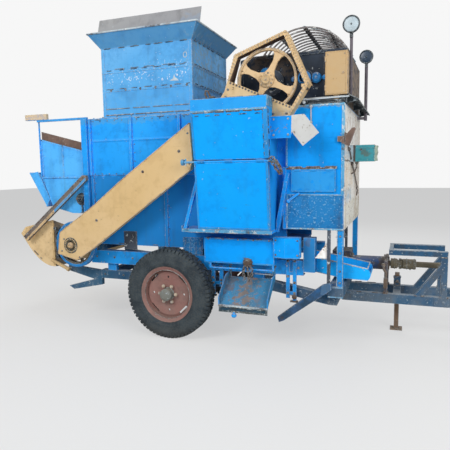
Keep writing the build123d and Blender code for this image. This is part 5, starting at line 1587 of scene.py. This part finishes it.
def makeDrawbarTrim(s):
    rng = random.Random(37)
    wide, low, high = s["rails"]
    z = s["shaftZ"]
    for side in (-1, 1):
        y = side * wide
        p.seam(0.822, 1.1, y - side * 0.004, high + 0.001, 0.0045, 0.06, 0.08, rng)
        for x in (1.332, 1.386, 1.522, 1.568):
            p.seam(x - 0.006, x + 0.016, y + side * 0.001, high + 0.002, 0.006, 0.05, 0.01, rng)
        p.seam(1.52, 1.568, y + side * 0.0015, s["frameTop"] - 0.042, 0.005, 0.05, 0.01, rng)
        for x in steps(1.62, 2.1, 3):
            edge = 0.19 - (x - 1.58) / 0.61 * 0.14
            start = (x, side * (edge - 0.006), high + 0.001)
            end = (x + 0.07, side * (edge - 0.022), high + 0.001)
            p.bead(start, end, 0.0045, 0.08, 0.02, rng)
    ring = [(0.02, -0.002), (0.036, -0.001), (0.036, 0.007), (0.02, 0.008)]
    p.turned((2.28, 0, 0.351), ring, 32, upright, closed=True)
    p.turned((2.28, 0, 0.311), ring, 32, down, closed=True)
    p.place("drawbarWelds", "weldRust")
    for side in (-1, 1):
        a, b = side * wide, side * (wide + 0.006)
        foot = [(1.48, low + 0.012), (1.568, low + 0.012), (1.568, 0.47), (1.53, 0.47)]
        foot += [(1.53, high), (1.48, high)]
        p.plate(foot, a, b)
        p.plate([(0.83, low + 0.01), (0.94, low + 0.01), (0.94, high - 0.01), (0.83, high - 0.01)], a, b)
        for x, bz in ((1.5, 0.33), (1.548, 0.33), (1.548, 0.44), (0.855, 0.331), (0.915, 0.331)):
            p.bolt((x, side * (wide + 0.006), bz), 0.012, (0, side, 0))
        a, b = side * (wide - 0.05), side * (wide + 0.001)
        p.block((1.128, a, s["frameTop"]), (1.571, b, s["frameTop"] + 0.002))
    p.place("drawbarPlates", "blueFrame", bevel=0.0012)
    # Flanges on the tube, plates of the portal, small levers
    for x in (0.82, 1.086):
        flange = [(0.057, 0), (0.074, 0), (0.074, 0.009), (0.057, 0.009)]
        p.turned((x, 0, z), flange, 32, toFront, closed=True)
        for k in range(6):
            a = math.pi * k / 3 + 0.3
            p.bolt((x + 0.009, 0.065 * math.cos(a), z + 0.065 * math.sin(a)), 0.008, toFront)
    p.turned((1.121, 0, z), [(0.032, 0), (0.056, 0), (0.056, 0.008), (0.032, 0.01)], 28, toFront, closed=True)
    for side in (-1, 1):
        a, b = side * 0.136, side * 0.196
        p.block((1.088, a, high), (1.128, b, high + 0.012))
    p.block((1.092, -0.215, 0.42), (1.124, -0.19, 0.505))
    lever = [(1.108, -0.205, 0.5), (1.112, -0.207, 0.545), (1.094, -0.207, 0.575), (1.088, -0.207, 0.606)]
    p.tube(lever, 0.01)
    p.turned((1.088, -0.207, 0.606), [(0.014, -0.004), (0.018, 0.006), (0.012, 0.02)], 12, upright)
    p.block((1.1, -0.212, 0.505), (1.118, -0.19, 0.515))
    p.place("tubeFlanges", "rustySteel", bevel=0.0008)
    # Forks, cross pins and clamp bolts that turn with the shaft
    for x0, x1, turn in ((1.15, 1.222, 0), (1.208, 1.262, 1)):
        for side in (-1, 1):
            arm = [(x0, 0.022), (x1, 0.022), (x1, 0.038), (x0, 0.038)]
            if turn:
                p.plate([(x, z + side * r) for x, r in arm], -0.017, 0.017)
            else:
                p.plate([(x, side * r) for x, r in arm], z - 0.017, z + 0.017, "z")
    for way in (toFar, upright):
        way = Vector(way)
        p.rod(Vector((1.2155, 0, z)) - way * 0.044, Vector((1.2155, 0, z)) + way * 0.044, 0.011, 12)
    for x in (1.262, 1.32, 1.165):
        collar = [(0.0415, 0), (0.0455, 0.002), (0.0455, 0.01), (0.0415, 0.012)]
        p.turned((x, 0, z), collar, 28, toFront, closed=True)
    for k in range(3):
        a = 2 * math.pi * k / 3 + 0.5
        out = Vector((0, math.cos(a), math.sin(a)))
        p.bolt(Vector((1.295, 0, z)) + out * 0.0415, 0.01, out)
    for k in range(8):
        a = 2 * math.pi * k / 8
        out = Vector((0, math.cos(a), math.sin(a)))
        start = Vector((1.5, 0, z)) + out * 0.0235
        p.rod(start, start + Vector((0.058, 0, 0)), 0.0028, 6)
    p.place("shaftJoint", "shaftGrime", "input")
    # Leg pin with its ring, collar on the sleeve, gussets of the foot
    for side in (-1, 1):
        y = 0.07 + side * 0.028
        p.turned((1.195, y, 0.43), [(0.013, 0), (0.013, 0.012), (0.009, 0.016)], 14, (0, side, 0))
    p.tube(around((1.195, 0.026, 0.412), 0.02, 12), 0.0035, 6, closed=True)
    square = [(1.167, 0.042, 0.462), (1.223, 0.042, 0.462), (1.223, 0.098, 0.462), (1.167, 0.098, 0.462)]
    p.tube(square, 0.0045, 6, closed=True)
    p.place("legPin", "rustySteel")
    for sideX, sideY in ((1, 0), (-1, 0), (0, 1), (0, -1)):
        x, y = 1.195 + sideX * 0.019, 0.07 + sideY * 0.019
        foot = [(0, 0.008), (0.02, 0.008), (0, 0.015)]
        if sideX:
            p.plate([(x + sideX * a, b) for a, b in foot], y - 0.003, y + 0.003)
        else:
            p.plate([(y + sideY * a, b) for a, b in foot], x - 0.003, x + 0.003, "x")
    p.place("legGussets", "rustySteel", "leg")


makeDrawbarTrim(drawbarSettings)
print("drawbar dressed")


# Running gear: axle clamps, gusset under the front cabinet, tray lips, bolts along the rails
gearSettings = {
    "axle": (-0.6, 0.38, 0.03),
    "clamps": (0.46, 0.51),
    "upright": (0.69, 0.715),
}


def makeGearTrim(s):
    rng = random.Random(41)
    axleX, axleZ, half = s["axle"]
    for side in (-1, 1):
        for y in s["clamps"]:
            y *= side
            reach = half + 0.008
            hoop = [
                (axleX - reach, y, 0.5), (axleX - reach, y, axleZ - reach), (axleX + reach, y, axleZ - reach),
                (axleX + reach, y, 0.5),
            ]
            p.tube(hoop, 0.007)
            for x in (axleX - reach, axleX + reach):
                p.turned((x, y, 0.494), [(0.013, -0.004), (0.013, 0.008), (0.01, 0.01)], 6, upright)
        a, b = side * 0.44, side * 0.53
        p.block((axleX - 0.055, a, axleZ - 0.05), (axleX + 0.055, b, axleZ - 0.0465))
        p.turned(
            (axleX, side * 0.598, axleZ), [(0.045, 0), (0.045, 0.01), (0.032, 0.014), (0.026, 0.02)],
            out=(0, side, 0),
        )
    p.place("axleClamps", "rustySteel")
    low, high = s["upright"]
    for side in (-1, 1):
        a, b = side * 0.572, side * 0.594
        p.block((low, a, 0.5), (high, b, 0.96))
    p.place("floorUprights", "weldDark", bevel=0.001)
    for side in (-1, 1):
        a, b = side * 0.58, side * 0.584
        p.plate([(0.597, 0.712), (low, 0.842), (low, 0.712)], a, b)
    p.place("floorGussets", "faceWorn")
    for x, y in ((0.5, -0.48), (0.5, -0.205)):
        p.tube([(x, y, 0.7185), (0.984, y, 0.6295)], 0.0045, 6)
    p.tube([(0.984, -0.48, 0.6295), (0.984, -0.202, 0.6295)], 0.0045, 6)
    for x in steps(0.56, 0.95, 6):
        p.bolt((x, -0.48, 0.7 - (x - 0.56) * 0.176), 0.007)
    p.place("trayLips", "rimWorn")
    for side in (-1, 1):
        for x in steps(-1.38, 0.2, 9):
            p.bolt((x, side * 0.52, 0.45), 0.011, (0, side, 0))
        for x in steps(-1.44, 0.46, 11):
            p.bolt((x, side * 0.55, 0.62), 0.011, (0, side, 0))
        for z in (0.53, 0.62, 0.76, 0.89):
            p.bolt((0.788, side * 0.595, z), 0.01, (0, side, 0))
        p.seam(0.766, 0.809, side * 0.597, 0.936, 0.005, 0.05, 0.01, rng)
    p.place("railBolts", "weldDark")
    p.blocks(
        ((0.7, -0.6025, 0.412), (0.813, -0.6, 0.422)), ((0.7, -0.6025, 0.488), (0.813, -0.6, 0.499)),
        ((0.764, -0.5965, 0.5), (0.769, -0.595, 0.936)), ((0.806, -0.5965, 0.5), (0.811, -0.595, 0.936)),
    )
    p.place("postEdges", "edgeWorn")


makeGearTrim(gearSettings)
print("running gear dressed")


# Body sides, deck and back: lap screws, access doors with hinges and latches, stiffeners
bodySettings = {
    "ribs": (-1.45, -1.025, -0.554),
    "lowRibs": (-1.45, -0.703),
    "lap": 1.372,
    "farDoors": [
        # low x, high x, low z, high z, y of the sheet behind
        (-1.4, -1.06, 1.42, 1.64, 0.55),
        (-0.98, -0.6, 0.8, 1.3, 0.55),
        (-0.5, 0.3, 0.96, 1.62, 0.55),
        (0.43, 0.76, 1.06, 1.7, 0.6),
    ],
    "hook": [(-0.29, -0.5, 1.88), (-0.3, -0.5, 1.96), (-0.292, -0.5, 2.01), (-0.312, -0.5, 2.052),
             (-0.332, -0.498, 2.06), (-0.338, -0.496, 2.03), (-0.322, -0.494, 1.995)],
    "knob": [(0.026, 0), (0.026, 0.01), (0.014, 0.016), (0.018, 0.1), (0.026, 0.112), (0.024, 0.124),
             (0.012, 0.13)],
}


def makeBodyTrim(s):
    rng = random.Random(43)
    for side in (-1, 1):
        for x in steps(-1.42, 0.3 if side > 0 else -0.36, 15):
            p.rivet((x, side * 0.5505, s["lap"] + 0.012), 0.006, (0, side, 0))
            p.rivet((x, side * 0.5505, 1.855), 0.006, (0, side, 0))
        for x in s["ribs"][1:]:
            for z in steps(1.42, 1.64, 4):
                p.rivet((x + 0.028, side * 0.5505, z), 0.0055, (0, side, 0))
        for x in s["lowRibs"]:
            for z in steps(0.8, 1.3, 6):
                p.rivet((x + 0.026, side * 0.5445, z), 0.0055, (0, side, 0))
    for y in steps(-0.48, 0.48, 9):
        p.rivet((-1.4705, y, 1.13), 0.006, toBack)
    p.place("bodyRivets", "weldDark")
    for side in (-1, 1):
        end = 0.3 if side > 0 else -0.34
        p.seam(-1.4, end, side * 0.551, 1.868, 0.004, 0.05, 0.16, rng)
        p.seam(-1.4, end, side * 0.5455, 0.752, 0.004, 0.06, 0.2, rng)
    p.place("bodyWelds", "weldDark")
    for sizes in s["farDoors"]:
        p.door(*sizes)
    p.place("farDoors", "bodyBlue", bevel=0.0015)
    for lowX, highX, lowZ, _, sheet in s["farDoors"]:
        y = sheet + 0.007
        for x in (lowX + 0.1, highX - 0.1):
            latch = [(0.016, 0), (0.016, 0.008), (0.008, 0.01), (0.008, 0.02)]
            p.turned((x, y, lowZ + 0.05), latch, 14, toFar)
            p.block((x - 0.006, y + 0.012, lowZ + 0.018), (x + 0.006, y + 0.019, lowZ + 0.06))
        middle = (lowX + highX) / 2
        grip = [
            (middle - 0.05, y, lowZ + 0.1), (middle - 0.05, y + 0.028, lowZ + 0.1),
            (middle + 0.05, y + 0.028, lowZ + 0.1), (middle + 0.05, y, lowZ + 0.1),
        ]
        p.tube(grip, 0.006)
    p.place("farLatches", "blackWorn")
    for x in (-1.415, -0.36, 0.02, 0.3):
        for y in (-0.54, 0.54):
            p.bolt((x, y, 1.88), 0.01, upright)
    for y in (0.34, 0.44):
        p.block((-1.44, y, 1.88), (-0.06, y + 0.012, 1.89))
    p.block((-0.34, -0.548, 1.88), (-0.05, 0.548, 1.884))
    p.place("deckRibs", "blueHopper", bevel=0.001)
    p.tube(s["hook"], 0.008)
    p.turned((-0.27, -0.5, 1.88), s["knob"], 16, upright)
    loop = [(-0.25, -0.48, 1.88), (-0.244, -0.48, 1.96), (-0.262, -0.486, 2.005), (-0.276, -0.486, 1.99)]
    p.tube(loop, 0.006)
    p.place("deckHook", "rustySteel")


makeBodyTrim(bodySettings)
print("body dressed")


# Blank plate: bolts and bent edge
plateSettings = {
    "face": -0.765,
    "bolts": [(0.316, 1.655), (0.316, 1.77), (0.425, 1.655), (0.425, 1.77)],
}


def makePlateTrim(s):
    for x, z in s["bolts"]:
        p.bolt((x, s["face"], z), 0.009)
    p.block((0.292, s["face"] - 0.002, 1.79), (0.446, s["face"], 1.794))
    p.place("plateBolts", "whiteSpeckAndPaintedGlint")


makePlateTrim(plateSettings)


# Floor, world and lamps: pale, plain and soft
studioSettings = {
    "floorColour": (0.62, 0.62, 0.61),
    "seenColour": (0.93, 0.93, 0.93),
    "seenShare": 0.55,
    "worldColour": (0.78, 0.8, 0.83),
    "worldStrength": 0.4,
    "lamps": [
        # name, place, aim, size, power
        ("keyLamp", (-2.6, -6.5, 5.2), (0.0, 0.0, 1.2), 3.2, 285),
        ("fillLamp", (4.8, -4.6, 3.4), (0.2, 0.0, 1.2), 3.0, 195),
        ("farLamp", (-0.5, 5.5, 5.0), (0.0, 0.0, 1.2), 3.5, 120),
        ("topLamp", (0.0, 0.0, 6.5), (0.0, 0.0, 0.0), 4.0, 100),
    ],
}


def makeStudio(s):
    bpy.context.scene.view_settings.view_transform = "Standard"
    floorPaint = Paint("floorFinish")
    diffuse = floorPaint.node("BsdfDiffuse", {}, {"Color": colour(s["floorColour"])})
    glow = floorPaint.node("Emission", {}, {"Color": colour(s["seenColour"]), "Strength": 1.0})
    rays = floorPaint.node("LightPath")
    seen = Wire(floorPaint, rays.outputs["Is Camera Ray"]) * s["seenShare"]
    floorPaint.finish(floorPaint.node("MixShader", {}, {0: seen, 1: diffuse, 2: glow}))
    mesh = bpy.data.meshes.new("floorPlane")
    reach, level = 30, -0.002
    corners = [(x * reach, y * reach, level) for x, y in ((-1, -1), (1, -1), (1, 1), (-1, 1))]
    mesh.from_pydata(corners, [], [(0, 1, 2, 3)])
    mesh.materials.append(floorPaint.material)
    floor = bpy.data.objects.new("floorPlane", mesh)
    bpy.context.scene.collection.objects.link(floor)
    world = bpy.data.worlds.new("studioWorld")
    bpy.context.scene.world = world
    sky = Paint("studioWorld", world)
    lit = sky.node("Background", {}, {"Color": colour(s["worldColour"]), "Strength": s["worldStrength"]})
    shown = sky.node("Background", {}, {"Color": colour(s["seenColour"]), "Strength": 1.0})
    rays = sky.node("LightPath")
    seen = Wire(sky, rays.outputs["Is Camera Ray"])
    for kind in ("Is Glossy Ray", "Is Transmission Ray"):
        seen = seen.most(Wire(sky, rays.outputs[kind]))
    sky.finish(sky.node("MixShader", {}, {0: seen, 1: lit, 2: shown}), "OutputWorld")
    for name, place, aim, size, power in s["lamps"]:
        data = bpy.data.lights.new(name, "AREA")
        data.size = size
        data.energy = power
        lamp = bpy.data.objects.new(name, data)
        lamp.location = place
        lamp.rotation_mode = "QUATERNION"
        lamp.rotation_quaternion = (Vector(aim) - Vector(place)).to_track_quat("-Z", "Y")
        bpy.context.scene.collection.objects.link(lamp)


makeStudio(studioSettings)
